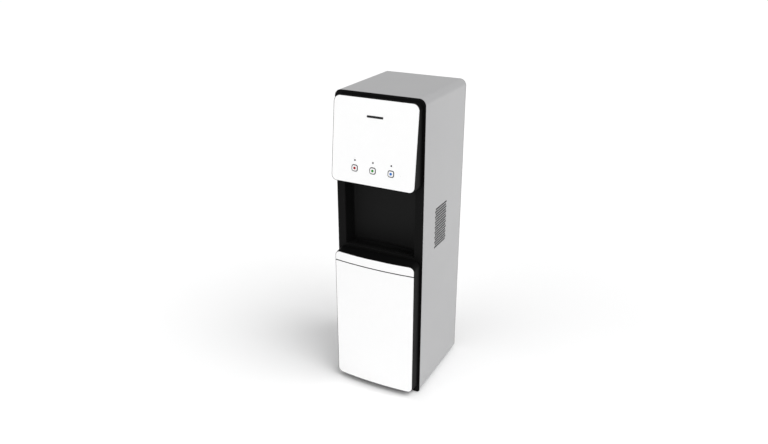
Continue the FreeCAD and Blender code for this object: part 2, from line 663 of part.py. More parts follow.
def niche_liner():
    """Black liner: floor with the tray well, side walls, curved back and roof with tap holes."""
    body = niche_plan(NICHE_WALL, NICHE_FLOOR - NICHE_WALL, NICHE_ROOF + NICHE_WALL)
    flange = box(-NICHE_HALF - NICHE_FLANGE, NICHE_HALF + NICHE_FLANGE, SHELL_FRONT,
                 SHELL_FRONT + NICHE_WALL, NICHE_FLOOR - NICHE_FLANGE, NICHE_ROOF + NICHE_FLANGE)
    well = tray_well(-NICHE_WALL, NICHE_FLOOR)
    liner = fused([body, flange, well])
    liner = liner.cut(niche_plan(0.0, NICHE_FLOOR, NICHE_ROOF))
    liner = liner.cut(tray_well(0.0, NICHE_FLOOR + THROUGH))
    liner = liner.cut(box(-HALF, HALF, FACE - 3 * THROUGH, SHELL_FRONT, 0, TOP))
    for x, _ in nozzle_places():
        liner = liner.cut(rod(NOZZLE_RADIUS + FIT, Vector(x, VALVE_Y, NICHE_ROOF - THROUGH),
                              Vector(x, VALVE_Y, NICHE_ROOF + THROUGH)))
    return liner


def drip_tray():
    """Loose basin in the well, open at the top."""
    tray = tray_well(RUN, NICHE_FLOOR)
    basin = tray_well(RUN + TRAY_WALL, NICHE_FLOOR - GRILLE_THICKNESS)
    seat = tray_well(RUN + TRAY_WALL / 2.0, NICHE_FLOOR + THROUGH)
    seat = seat.common(box(-HALF, HALF, FACE, BACK, NICHE_FLOOR - GRILLE_THICKNESS, TOP))
    return tray.cut(fused([basin, seat]))


def drip_grille():
    """Slotted cover that lies in the top of the basin, level with the niche floor."""
    grille = tray_well(RUN + TRAY_WALL / 2.0 + RUN, NICHE_FLOOR)
    grille = grille.common(box(-HALF, HALF, FACE, BACK, NICHE_FLOOR - GRILLE_THICKNESS, TOP))
    half = NICHE_HALF - TRAY_SIDE_MARGIN - GRILLE_BORDER
    y0 = FACE + TRAY_FRONT_LAND + GRILLE_BORDER
    y1 = FACE + TRAY_FRONT_LAND + TRAY_WELL_LENGTH - GRILLE_BORDER
    count = int(2.0 * half / GRILLE_SLOT_PITCH)
    first = -(count - 1) * GRILLE_SLOT_PITCH / 2.0
    slots = []
    for step in range(count):
        x = first + step * GRILLE_SLOT_PITCH
        slots.append(box(x - GRILLE_SLOT_WIDTH / 2.0, x + GRILLE_SLOT_WIDTH / 2.0, y0, y1,
                         NICHE_FLOOR - THROUGH, NICHE_FLOOR + THROUGH))
    return grille.cut(group(slots))


# ---------------------------------------------------------------- control head
def panel_wire(inset, depth):
    """Panel outline in the tilted plane, pulled in by inset, depth behind the face."""
    return outline(-PANEL_HALF + inset, PANEL_HALF - inset, inset, PANEL_LENGTH - inset,
                   PANEL_LOW_RADIUS - inset, PANEL_TOP_RADIUS - inset, depth)


def head_wire(inset, y):
    """Housing outline where it meets the bezel, pulled in by inset."""
    half = HALF - HEAD_SIDE_MARGIN - inset
    return outline(-half, half, PANEL_LOW - HEAD_REAR_DROP + inset, PANEL_HIGH + HEAD_REAR_RISE - inset,
                   PANEL_LOW_RADIUS - inset, PANEL_TOP_RADIUS - inset, y)


def panel_housing():
    """Black wedge between the bezel and the tilted panel, a rim round the panel, open behind."""
    outside = Part.makeLoft([on_panel(panel_wire(0.0, 0.0)), head_wire(0.0, FACE)], True, True)
    hollow = Part.makeLoft([on_panel(panel_wire(2.0 * HEAD_WALL, PANEL_THICKNESS)),
                            head_wire(HEAD_WALL, FACE)], True, True)
    seat = Part.Face(panel_wire(RIM, -THROUGH)).extrude(Vector(0, THROUGH + PANEL_THICKNESS, 0))
    return outside.cut(hollow).cut(on_panel(seat))


def key_outline(x, size, radius, y0, y1):
    half = size / 2.0
    return plate(x - half, x + half, KEY_HEIGHT_UP - half, KEY_HEIGHT_UP + half, radius, radius, y0, y1)


def boss_places():
    reach = KEY_PITCH + BOSS_BORDER
    heights = (KEY_HEIGHT_UP - BOSS_BELOW, LAMP_UP + BOSS_ABOVE)
    return [(sx * reach, up) for sx in (-1, 1) for up in heights]


def control_panel():
    """White front plate with the key and lamp holes and the bosses that hold the key board."""
    inset = RIM + FIT
    sheet = Part.Face(panel_wire(inset, 0.0)).extrude(Vector(0, PANEL_THICKNESS, 0))
    for x, up in boss_places():
        sheet = sheet.fuse(rod(BOSS_RADIUS, Vector(x, PANEL_THICKNESS, up), Vector(x, BOARD_DEPTH, up)))
    sheet = sheet.removeSplitter()
    for x, _ in key_places():
        sheet = sheet.cut(key_outline(x, KEY_RING_SIZE + 2 * FIT, KEY_RING_RADIUS + FIT,
                                      -THROUGH, THROUGH))
        sheet = sheet.cut(rod(LAMP_RADIUS + FIT, Vector(x, -THROUGH, LAMP_UP),
                              Vector(x, THROUGH, LAMP_UP)))
    return on_panel(sheet)


def key_rings():
    """Black ring inserts round the keys."""
    rings = []
    for x, _ in key_places():
        ring = key_outline(x, KEY_RING_SIZE, KEY_RING_RADIUS, -FIT, PANEL_THICKNESS)
        hole = key_outline(x, KEY_SIZE + 2 * RUN, KEY_RADIUS + RUN, -THROUGH, THROUGH)
        rings.append(on_panel(ring.cut(hole)))
    return group(rings)


def key(x):
    """White key: cap, retaining flange behind the ring and the stem that works the switch."""
    behind = PANEL_THICKNESS + RUN
    cap = key_outline(x, KEY_SIZE, KEY_RADIUS, -KEY_PROUD, behind + KEY_FLANGE)
    flange = key_outline(x, KEY_RING_SIZE + 2.0 * KEY_FLANGE_REACH, KEY_RING_RADIUS,
                         behind, behind + KEY_FLANGE)
    stem = rod(KEY_STEM_RADIUS, Vector(x, PANEL_THICKNESS, KEY_HEIGHT_UP),
               Vector(x, BOARD_DEPTH - SWITCH_DEPTH + KEY_STEM_IN_SWITCH, KEY_HEIGHT_UP))
    body = fused([cap, flange, stem])
    recess = rod(DOT_RADIUS + FIT, Vector(x, -THROUGH, KEY_HEIGHT_UP),
                 Vector(x, -KEY_PROUD + DOT_DEPTH, KEY_HEIGHT_UP))
    return on_panel(body.cut(recess))


def key_dot(x):
    """Coloured dot set in the key's face."""
    return on_panel(rod(DOT_RADIUS, Vector(x, -KEY_PROUD - DOT_PROUD, KEY_HEIGHT_UP),
                        Vector(x, -KEY_PROUD + DOT_DEPTH, KEY_HEIGHT_UP)))


def key_board():
    """Circuit board behind the panel."""
    reach = KEY_PITCH + BOARD_BORDER
    board = box(-reach, reach, BOARD_DEPTH, BOARD_DEPTH + BOARD_THICKNESS,
                KEY_HEIGHT_UP - BOARD_BELOW, LAMP_UP + BOARD_ABOVE)
    return on_panel(board)


def key_switches():
    """Push switches on the board, each bored for its key's stem."""
    switches = []
    for x, _ in key_places():
        half = SWITCH_SIZE / 2.0
        body = box(x - half, x + half, BOARD_DEPTH - SWITCH_DEPTH, BOARD_DEPTH,
                   KEY_HEIGHT_UP - half, KEY_HEIGHT_UP + half)
        bore = rod(KEY_STEM_RADIUS + PIN_FIT, Vector(x, 0, KEY_HEIGHT_UP),
                   Vector(x, BOARD_DEPTH - SWITCH_FLOOR, KEY_HEIGHT_UP))
        switches.append(on_panel(body.cut(bore)))
    return group(switches)


def indicator_lamps():
    """Small lamp lenses above the keys, standing on the board."""
    return group([on_panel(rod(LAMP_RADIUS, Vector(x, -LAMP_PROUD, LAMP_UP),
                               Vector(x, BOARD_DEPTH, LAMP_UP))) for x, _ in key_places()])


def badge():
    """Plain dark bar on the upper part of the panel."""
    middle = PANEL_LENGTH - BADGE_DOWN
    bar = plate(-BADGE_WIDTH / 2.0, BADGE_WIDTH / 2.0, middle - BADGE_HEIGHT / 2.0,
                middle + BADGE_HEIGHT / 2.0, BADGE_RADIUS, BADGE_RADIUS, -BADGE_THICKNESS, 0.0)
    return on_panel(bar)


# ---------------------------------------------------------------- door
def door_outline(y, inset=0.0):
    """Door outline at a depth: it narrows from its rear face towards its front."""
    share = (DOOR_REAR - y) / (DOOR_REAR - (FACE - DOOR_EDGE_REACH))
    half = DOOR_HALF + share * (DOOR_HALF_FRONT - DOOR_HALF) - inset
    low = DOOR_LOW + share * DOOR_LOW_SLOPE + inset
    high = DOOR_TOP - share * DOOR_TOP_SLOPE - inset
    radius = max(DOOR_RADIUS - inset, 2.0)
    return outline(-half, half, low, high, radius, radius, y)


def bow(behind):
    """Everything behind the bowed front face, moved back by behind."""
    axis = Vector(0, DOOR_FRONT + BOW_RADIUS, -THROUGH)
    return Part.makeCylinder(BOW_RADIUS - behind, TOP, axis)


def door_face_prism(inset, z0, z1):
    """Outline of the white face, straight through the door, between two heights."""
    front = FACE - DOOR_EDGE_REACH
    wire = door_outline(front, inset)
    prism = Part.Face(wire).extrude(Vector(0, 3 * THROUGH, 0))
    prism.translate(Vector(0, -3 * THROUGH + DOOR_FACE_THICKNESS, 0))
    return prism.common(box(-HALF, HALF, DOOR_FRONT - 3 * THROUGH, FACE, z0, z1))


def hinge_blocks():
    """Solid corners of the door that carry the hinge pins."""
    x0 = -DOOR_HALF
    x1 = HINGE_X + HINGE_BLOCK_HALF
    y0 = HINGE_Y - HINGE_BLOCK_HALF
    reach = HINGE_PIN_REACH + HINGE_PIN_COVER
    lower = box(x0, x1, y0, DOOR_REAR, DOOR_LOW, DOOR_LOW + reach)
    upper = box(x0, x1, y0, DOOR_REAR, NOTCH_TOP - NOTCH_HEIGHT - reach, DOOR_TOP)
    return lower.fuse(upper)


def door_carcass():
    """Deep black door body with its hollow, the hinge corners and the seat of the white faces."""
    far = FACE - DOOR_EDGE_REACH - DOOR_BOW - THROUGH
    body = Part.makeLoft([door_outline(far), door_outline(DOOR_REAR)], True, True)
    body = body.common(bow(0.0))
    rounding = box(-DOOR_HALF - THROUGH, -DOOR_HALF + HINGE_ROUND, DOOR_REAR - HINGE_ROUND,
                   DOOR_REAR + THROUGH, 0, TOP)
    rounding = rounding.cut(Part.makeCylinder(HINGE_ROUND, TOP, Vector(
        -DOOR_HALF + HINGE_ROUND, DOOR_REAR - HINGE_ROUND, 0)))
    body = body.cut(rounding)
    seat = door_face_prism(RIM, 0, TOP).cut(bow(DOOR_FACE_THICKNESS))
    body = body.cut(seat)
    hollow = Part.makeLoft([door_outline(far, DOOR_SIDE_WALL),
                            door_outline(DOOR_REAR - INNER_PANEL_THICKNESS, DOOR_SIDE_WALL)], True, True)
    hollow = hollow.common(bow(DOOR_FACE_THICKNESS + DOOR_WALL)).cut(hinge_blocks())
    body = body.cut(hollow)
    body = body.cut(inner_panel_shape(FIT))
    notch = box(-DOOR_HALF - THROUGH, HINGE_X + HINGE_LEAF_HALF + NOTCH_EASE,
                HINGE_Y - HINGE_LEAF_HALF - NOTCH_EASE, DOOR_REAR + THROUGH,
                NOTCH_TOP - NOTCH_HEIGHT, NOTCH_TOP)
    body = body.cut(notch)
    for low, high in hinge_pin_spans():
        body = body.cut(rod(HINGE_PIN_RADIUS + PIN_FIT, Vector(HINGE_X, HINGE_Y, low - PIN_END),
                            Vector(HINGE_X, HINGE_Y, high + PIN_END)))
    return body.cut(magnet_box(FIT))


def inner_panel_shape(grow):
    """Door inner panel in the rear face, clear of the hinge corners."""
    left = HINGE_X + HINGE_BLOCK_HALF + 2.0 - grow
    right = DOOR_HALF - DOOR_WALL + grow
    low = DOOR_LOW + DOOR_WALL - grow
    high = DOOR_TOP - DOOR_WALL + grow
    return plate(left, right, low, high, INNER_PANEL_LOW_RADIUS, INNER_PANEL_TOP_RADIUS,
                 DOOR_REAR - INNER_PANEL_THICKNESS - grow, DOOR_REAR + grow)


def door_inner_panel():
    panel = inner_panel_shape(0.0)
    return panel.cut(magnet_box(FIT))


def seam():
    """Height of the groove between the top strip and the main face."""
    high = DOOR_TOP - DOOR_TOP_SLOPE - SEAM_DOWN
    return high - SEAM_HEIGHT / 2.0, high + SEAM_HEIGHT / 2.0


def door_face():
    """Large bowed white face below the groove."""
    face = door_face_prism(RIM + FIT, 0, seam()[0])
    return face.common(bow(0.0)).cut(bow(DOOR_FACE_THICKNESS))


def door_top_strip():
    """Bowed white strip above the groove."""
    face = door_face_prism(RIM + FIT, seam()[1], TOP)
    return face.common(bow(0.0)).cut(bow(DOOR_FACE_THICKNESS))


def hinge_pin_spans():
    """Bottom and top of the lower and the upper hinge pin."""
    lower = (LOWER_LEAF, LOWER_LEAF + HINGE_LEAF + RUN + HINGE_PIN_REACH)
    upper = (UPPER_LEAF - HINGE_PIN_REACH, UPPER_LEAF + HINGE_LEAF + HINGE_PIN_REACH)
    return [lower, upper]


def hinge_tabs():
    """Steel tabs through the bezel, each with a screw flange behind it."""
    tabs = []
    flange_lows = (LOWER_LEAF, UPPER_LEAF + HINGE_LEAF - HINGE_FLANGE)
    for leaf, flange_low in zip((LOWER_LEAF, UPPER_LEAF), flange_lows):
        rear = SHELL_FRONT + HINGE_LEAF
        arm = box(HINGE_X - HINGE_LEAF_HALF, HINGE_X + HINGE_LEAF_HALF, HINGE_Y, rear,
                  leaf, leaf + HINGE_LEAF)
        nose = Part.makeCylinder(HINGE_LEAF_HALF, HINGE_LEAF, Vector(HINGE_X, HINGE_Y, leaf))
        flange = box(HINGE_X - HINGE_LEAF_HALF, HINGE_X + HINGE_LEAF_HALF, SHELL_FRONT,
                     SHELL_FRONT + HINGE_LEAF, flange_low, flange_low + HINGE_FLANGE)
        tab = fused([arm, nose, flange])
        tab = tab.cut(rod(HINGE_PIN_RADIUS, Vector(HINGE_X, HINGE_Y, leaf - PIN_END),
                          Vector(HINGE_X, HINGE_Y, leaf + HINGE_LEAF + PIN_END)))
        tabs.append(tab)
    return group(tabs)


def hinge_pins():
    """Pins pressed into the tabs; the door turns on them."""
    return group([rod(HINGE_PIN_RADIUS, Vector(HINGE_X, HINGE_Y, low), Vector(HINGE_X, HINGE_Y, high))
                  for low, high in hinge_pin_spans()])


def latch_place():
    """Middle of the magnet latch, on the free side of the door."""
    left, right, low, high = bay_opening()
    return (right + DOOR_HALF) / 2.0 - 1.0, (low + high) / 2.0


def magnet_box(grow):
    x, z = latch_place()
    half = MAGNET_HEIGHT / 2.0 + grow
    return box(x - half, x + half, DOOR_REAR - MAGNET_DEPTH - grow, DOOR_REAR + grow,
               z - MAGNET_WIDTH / 2.0 - grow, z + MAGNET_WIDTH / 2.0 + grow)


def door_magnet():
    return magnet_box(0.0)


def strike_pocket():
    x, z = latch_place()
    half = MAGNET_HEIGHT / 2.0 + FIT
    return box(x - half, x + half, FACE - THROUGH, FACE + STRIKE_SHEET,
               z - MAGNET_WIDTH / 2.0 - FIT, z + MAGNET_WIDTH / 2.0 + FIT)


def strike_plate():
    """Thin steel plate let into the bezel opposite the magnet."""
    x, z = latch_place()
    half = MAGNET_HEIGHT / 2.0
    return box(x - half, x + half, FACE, FACE + STRIKE_SHEET,
               z - MAGNET_WIDTH / 2.0, z + MAGNET_WIDTH / 2.0)


# ---------------------------------------------------------------- taps and valves
def nozzle(x):
    """Outlet nozzle through the niche roof, stepped and bored."""
    top = VALVE_LOW
    shoulder = NICHE_ROOF - NOZZLE_SHOULDER
    tip = NICHE_ROOF - NOZZLE_DROP
    upper = rod(NOZZLE_RADIUS, Vector(x, VALVE_Y, shoulder), Vector(x, VALVE_Y, top))
    taper = Part.makeCone(NOZZLE_TIP_RADIUS, NOZZLE_RADIUS, shoulder - tip, Vector(x, VALVE_Y, tip))
    bore = rod(NOZZLE_BORE, Vector(x, VALVE_Y, tip - PIN_END), Vector(x, VALVE_Y, top + PIN_END))
    return fused([upper, taper]).cut(bore)


def solenoid_valves():
    """Three valve bodies with their coils, one above each nozzle."""
    valves = []
    half = VALVE_SIZE / 2.0
    for x, _ in nozzle_places():
        body = box(x - half, x + half, VALVE_Y - VALVE_DEPTH / 2.0, VALVE_Y + VALVE_DEPTH / 2.0,
                   VALVE_LOW, VALVE_LOW + VALVE_HEIGHT)
        coil = Part.makeCylinder(VALVE_COIL_RADIUS, VALVE_COIL_HEIGHT,
                                 Vector(x, VALVE_Y, VALVE_LOW + VALVE_HEIGHT))
        port = rod(TUBE_RADIUS + STUB_WALL, Vector(x, VALVE_Y + VALVE_DEPTH / 2.0, PORT_HEIGHT),
                   Vector(x, VALVE_PORT_END, PORT_HEIGHT))
        valves.append(fused([body, coil, port]))
    return group(valves)


# ---------------------------------------------------------------- tanks and water lines
def tank_bracket():
    """Folded plate behind the niche that carries both tanks."""
    low = BRACKET_TOP - BRACKET_LIP
    bracket = box(-INNER, INNER, CHAMBER_FRONT, CHAMBER_REAR, low, BRACKET_TOP)
    bracket = bracket.cut(box(-INNER + BRACKET_SHEET, INNER - BRACKET_SHEET,
                              CHAMBER_FRONT - THROUGH, CHAMBER_REAR + THROUGH,
                              low - THROUGH, BRACKET_TOP - BRACKET_SHEET))
    x, y = riser_place()
    bracket = bracket.cut(rod(TUBE_RADIUS + LINE_EASE, Vector(x, y, low), Vector(x, y, TOP)))
    x, y = suction_place()
    return bracket.cut(rod(COIL_TUBE_RADIUS + LINE_EASE, Vector(x, y, low), Vector(x, y, TOP)))


def riser_place():
    """The pump's riser climbs in the gap between the two tanks."""
    return COLD_LEFT - TANK_GAP / 2.0, CHAMBER_MID - RISER_FORWARD


def suction_place():
    """The suction line climbs behind the riser in the same gap."""
    return COLD_LEFT - TANK_GAP / 2.0, CHAMBER_MID + SUCTION_BACK


def cold_tank():
    """Stainless chilled-water tank with domed ends left flat."""
    low = BRACKET_TOP + FOAM
    tank = Part.makeCylinder(COLD_RADIUS, TANK_TOP - FOAM - low, Vector(COLD_X, CHAMBER_MID, low))
    inside = Part.makeCylinder(COLD_RADIUS - TANK_SHEET, TANK_TOP - FOAM - low - 2.0 * TANK_SHEET,
                               Vector(COLD_X, CHAMBER_MID, low + TANK_SHEET))
    return tank.cut(inside)


def cold_foam():
    """Foam block round the cold tank and its coil."""
    half_depth = COLD_RADIUS + FOAM
    block = box(COLD_LEFT, COLD_RIGHT, CHAMBER_MID - half_depth, CHAMBER_MID + half_depth,
                BRACKET_TOP, TANK_TOP)
    room = Part.makeCylinder(COLD_RADIUS + COIL_GAP + 2.0 * COIL_TUBE_RADIUS + COIL_ROOM,
                             TANK_TOP - BRACKET_TOP - 2.0 * FOAM,
                             Vector(COLD_X, CHAMBER_MID, BRACKET_TOP + FOAM))
    return block.cut(room)


def evaporator_coil():
    """Copper rings round the cold tank, joined by short risers."""
    low = BRACKET_TOP + FOAM + COIL_END
    pitch = (TANK_TOP - FOAM - COIL_END - low) / (COIL_TURNS - 1)
    radius = COLD_RADIUS + COIL_TUBE_RADIUS + COIL_GAP
    pieces = []
    for turn in range(COIL_TURNS):
        centre = Vector(COLD_X, CHAMBER_MID, low + turn * pitch)
        pieces.append(Part.makeTorus(radius, COIL_TUBE_RADIUS, centre, Z_AXIS))
        if turn:
            angle = math.radians(COIL_RISER_DEG if turn % 2 else -COIL_RISER_DEG)
            foot = centre + Vector(radius * math.cos(angle), radius * math.sin(angle), -pitch)
            pieces.append(rod(COIL_RISER_RADIUS, foot, foot + Vector(0, 0, pitch)))
    return fused(pieces)


def hot_tank():
    """Stainless hot-water tank."""
    low = BRACKET_TOP + HOT_JACKET
    high = TANK_TOP - HOT_JACKET
    radius = HOT_RADIUS - HOT_TANK_EASE
    tank = Part.makeCylinder(radius, high - low, Vector(HOT_X, CHAMBER_MID, low))
    return tank.cut(Part.makeCylinder(radius - TANK_SHEET, high - low - 2.0 * TANK_SHEET,
                                      Vector(HOT_X, CHAMBER_MID, low + TANK_SHEET)))


def band_heater():
    """Heater band round the hot tank."""
    base = Vector(HOT_X, CHAMBER_MID, BRACKET_TOP + HOT_JACKET + HEATER_LOW)
    band = Part.makeCylinder(HOT_RADIUS - FIT, HEATER_HEIGHT, base)
    return band.cut(Part.makeCylinder(HOT_RADIUS - HOT_TANK_EASE + FIT, HEATER_HEIGHT, base))


def hot_jacket():
    """Insulating jacket round the hot tank."""
    outer = Part.makeCylinder(HOT_RADIUS + HOT_JACKET, TANK_TOP - BRACKET_TOP,
                              Vector(HOT_X, CHAMBER_MID, BRACKET_TOP))
    return outer.cut(Part.makeCylinder(HOT_RADIUS, TANK_TOP - BRACKET_TOP - 2.0 * HOT_JACKET,
                                       Vector(HOT_X, CHAMBER_MID, BRACKET_TOP + HOT_JACKET)))


def water_lines():
    """Silicone lines: hot and cold tank to their valves, and the pump's riser to the middle valve."""
    port = VALVE_PORT_END
    hot_x = nozzle_places()[0][0]
    cold_x = nozzle_places()[2][0]
    cold_face = CHAMBER_MID - COLD_RADIUS - FOAM
    hot_face = CHAMBER_MID - HOT_RADIUS - HOT_JACKET
    cold = tube([Vector(cold_x, port, PORT_HEIGHT), Vector(cold_x, cold_face, PORT_HEIGHT)],
                HOT_LINE_BEND, TUBE_RADIUS, TUBE_BORE)
    third = (hot_face - port) / 3.0
    hot = tube([Vector(hot_x, port, PORT_HEIGHT), Vector(hot_x, port + third, PORT_HEIGHT),
                Vector(HOT_X, hot_face - third, PORT_HEIGHT), Vector(HOT_X, hot_face, PORT_HEIGHT)],
               HOT_LINE_BEND, TUBE_RADIUS, TUBE_BORE)
    x, y = riser_place()
    pump_x, pump_y, pump_top = pump_outlet()
    knee = BRACKET_TOP - RISER_KNEE
    behind = port + RISER_STAND_OFF
    riser = tube([Vector(pump_x, pump_y, pump_top), Vector(pump_x, pump_y, knee),
                  Vector(x, y, knee), Vector(x, y, PORT_HEIGHT),
                  Vector(x, behind, PORT_HEIGHT), Vector(0, behind, PORT_HEIGHT),
                  Vector(0, port, PORT_HEIGHT)], RISER_BEND, TUBE_RADIUS, TUBE_BORE)
    return group([hot, cold, riser])


# ---------------------------------------------------------------- refrigeration and pump
def domed_pot(radius, height, base, dome):
    """Upright cylinder with both ends rounded."""
    pot = Part.makeCylinder(radius, height, base)
    return pot.makeFillet(dome, [edge for edge in pot.Edges if isinstance(edge.Curve, Part.Circle)])


def compressor():
    """Domed steel compressor with its mounting feet."""
    low = SHELF_TOP + GROMMET_HEIGHT
    high = low + COMPRESSOR_HEIGHT
    wall = COMPRESSOR_WALL
    pot = domed_pot(COMPRESSOR_RADIUS, COMPRESSOR_HEIGHT, Vector(COMPRESSOR_X, CHAMBER_MID, low),
                    COMPRESSOR_DOME)
    inside = domed_pot(COMPRESSOR_RADIUS - wall, COMPRESSOR_HEIGHT - 2.0 * wall,
                       Vector(COMPRESSOR_X, CHAMBER_MID, low + wall), COMPRESSOR_DOME - wall)
    seam_ring = Part.makeCylinder(COMPRESSOR_RADIUS + SEAM_RING_REACH, SEAM_RING_HEIGHT,
                                  Vector(COMPRESSOR_X, CHAMBER_MID, low + SEAM_RING_UP))
    reach = COMPRESSOR_RADIUS + COMPRESSOR_FOOT_REACH
    foot = box(COMPRESSOR_X - reach, COMPRESSOR_X + reach, CHAMBER_MID - reach, CHAMBER_MID + reach,
               low, low + COMPRESSOR_FOOT_SHEET)
    foot = foot.cut(group([rod(COMPRESSOR_BOLT_RADIUS, Vector(x, y, SHELF_TOP), Vector(x, y, high))
                           for x, y in grommet_places()]))
    stub = rod(COIL_TUBE_RADIUS + SUCTION_STUB_WALL, Vector(COMPRESSOR_X, CHAMBER_MID, high - wall / 2.0),
               Vector(COMPRESSOR_X, CHAMBER_MID, high + SUCTION_STUB))
    return fused([pot, seam_ring, foot, stub]).cut(inside)


def grommet_places():
    reach = COMPRESSOR_RADIUS - COMPRESSOR_BOLT_INSET
    return [(COMPRESSOR_X + sx * reach, CHAMBER_MID + sy * reach) for sx in (-1, 1) for sy in (-1, 1)]


def compressor_grommets():
    """Rubber grommets between the compressor feet and the shelf."""
    return group([Part.makeCylinder(GROMMET_RADIUS, GROMMET_HEIGHT, Vector(x, y, SHELF_TOP))
                  for x, y in grommet_places()])


def refrigerant_lines():
    """Copper suction line from the cold block to the compressor."""
    x, y = suction_place()
    top = SHELF_TOP + GROMMET_HEIGHT + COMPRESSOR_HEIGHT + SUCTION_STUB
    cross = (top + BRACKET_TOP) / 2.0
    turn = TANK_TOP - FOAM * 2.0
    return tube([Vector(COMPRESSOR_X, CHAMBER_MID, top), Vector(COMPRESSOR_X, CHAMBER_MID, cross),
                 Vector(x, y, cross), Vector(x, y, turn), Vector(COLD_LEFT, y, turn)],
                SUCTION_BEND, COIL_TUBE_RADIUS, COIL_TUBE_RADIUS - COPPER_WALL)


def condenser_box():
    """Place of the condenser: half width, bottom and top."""
    return HALF - CONDENSER_MARGIN, SHELF_TOP + CONDENSER_LOW, TOP - CONDENSER_MARGIN - SHELL_FLANGE


def condenser_tube():
    """Flat serpentine of steel tube behind the rear cover."""
    half, low, high = condenser_box()
    pitch = (high - low) / (CONDENSER_ROWS - 1)
    y = SHELL_REAR - SHELL_SHEET - CONDENSER_STAND_OFF
    points = []
    for row in range(CONDENSER_ROWS):
        z = low + row * pitch
        sides = (-half, half) if row % 2 == 0 else (half, -half)
        points += [Vector(side, y, z) for side in sides]
    bend = min(CONDENSER_BEND, pitch / 2.0 - RUN)
    return tube(points, bend, CONDENSER_TUBE_RADIUS, 0.0)


def condenser_wires():
    """Upright wires on both sides of the serpentine."""
    half, low, high = condenser_box()
    wires = []
    count = int(2.0 * (half - WIRE_MARGIN) / WIRE_PITCH) + 1
    first = -(count - 1) * WIRE_PITCH / 2.0
    offset = CONDENSER_TUBE_RADIUS + WIRE_RADIUS + WIRE_WELD_GAP
    middle = SHELL_REAR - SHELL_SHEET - CONDENSER_STAND_OFF
    for step in range(count):
        x = first + step * WIRE_PITCH
        y = middle + (offset if step % 2 else -offset)
        wires.append(rod(WIRE_RADIUS, Vector(x, y, low - WIRE_OVERRUN), Vector(x, y, high + WIRE_OVERRUN)))
    return group(wires)


def pump_outlet():
    return PROBE_X, PROBE_Y, SHELF_TOP + PUMP_HEIGHT + PUMP_STUB


def water_pump():
    """Upright pump on the shelf, right above the hose from the bottle."""
    body = Part.makeCylinder(PUMP_RADIUS, PUMP_HEIGHT, Vector(PROBE_X, PROBE_Y, SHELF_TOP))
    collar = Part.makeCylinder(PUMP_RADIUS + PUMP_COLLAR_REACH, PUMP_COLLAR_HEIGHT,
                               Vector(PROBE_X, PROBE_Y, SHELF_TOP + PUMP_COLLAR_UP))
    outlet = Part.makeCylinder(TUBE_RADIUS + STUB_WALL, PUMP_STUB,
                               Vector(PROBE_X, PROBE_Y, SHELF_TOP + PUMP_HEIGHT))
    return fused([body, collar, outlet])


def control_board():
    """Main board upright behind the bezel, with its relays and transformer."""
    front = SHELL_FRONT + MAIN_BOARD_STAND_OFF
    rear = front + BOARD_THICKNESS
    half = min(MAIN_BOARD_HALF, INNER - MAIN_BOARD_SIDE_GAP)
    low = VALVE_LOW + VALVE_HEIGHT + MAIN_BOARD_UP
    parts = [box(-half, half, front, rear, low, low + MAIN_BOARD_HEIGHT)]
    for x, up, width, height, depth in MAIN_BOARD_BLOCKS:
        parts.append(box(x - width / 2.0, x + width / 2.0, rear, rear + depth,
                         low + up - height / 2.0, low + up + height / 2.0))
    return fused(parts)


# ---------------------------------------------------------------- bottle probe
def bottle_probe():
    """Rigid suction tube with the cap that sits on the bottle's neck."""
    low = PROBE_TOP - PROBE_LENGTH
    lance = rod(PROBE_RADIUS, Vector(PROBE_X, PROBE_Y, low), Vector(PROBE_X, PROBE_Y, PROBE_TOP))
    cap = Part.makeCylinder(PROBE_CAP_RADIUS, PROBE_CAP_HEIGHT,
                            Vector(PROBE_X, PROBE_Y, PROBE_TOP - PROBE_CAP_HEIGHT))
    cap = cap.makeFillet(PROBE_CAP_ROUND, [e for e in cap.Edges if isinstance(e.Curve, Part.Circle)])
    return fused([lance, cap])


def probe_hose():
    """Short flexible hose from the probe up through the shelf to the pump."""
    low = Vector(PROBE_X, PROBE_Y, PROBE_TOP)
    high = Vector(PROBE_X, PROBE_Y, SHELF_TOP)
    return rod(HOSE_RADIUS, low, high).cut(rod(HOSE_RADIUS - HOSE_WALL, low, high))


def probe_clip():
    """Open-fronted clip on the left wall; the parked probe hangs in it by its cap."""
    top = PROBE_TOP - PROBE_CAP_HEIGHT - RUN
    ring = Part.makeCylinder(PROBE_CAP_RADIUS - CLIP_OVERLAP, CLIP_HEIGHT,
                             Vector(PROBE_X, PROBE_Y, top - CLIP_HEIGHT))
    arm = box(-INNER, PROBE_X, PROBE_Y - CLIP_ARM_HALF, PROBE_Y + CLIP_ARM_HALF, top - CLIP_HEIGHT, top)
    flange = box(-INNER, -INNER + CLIP_FLANGE_SHEET, PROBE_Y - CLIP_FLANGE_HALF,
                 PROBE_Y + CLIP_FLANGE_HALF, top - CLIP_FLANGE_DOWN, top + CLIP_FLANGE_UP)
    clip = fused([ring, arm, flange])
    hole = PROBE_RADIUS + RUN
    clip = clip.cut(rod(hole, Vector(PROBE_X, PROBE_Y, 0), Vector(PROBE_X, PROBE_Y, TOP)))
    return clip.cut(box(PROBE_X - hole, PROBE_X + hole, PROBE_Y - PROBE_CAP_RADIUS, PROBE_Y,
                        top - CLIP_FLANGE_DOWN, top + THROUGH))


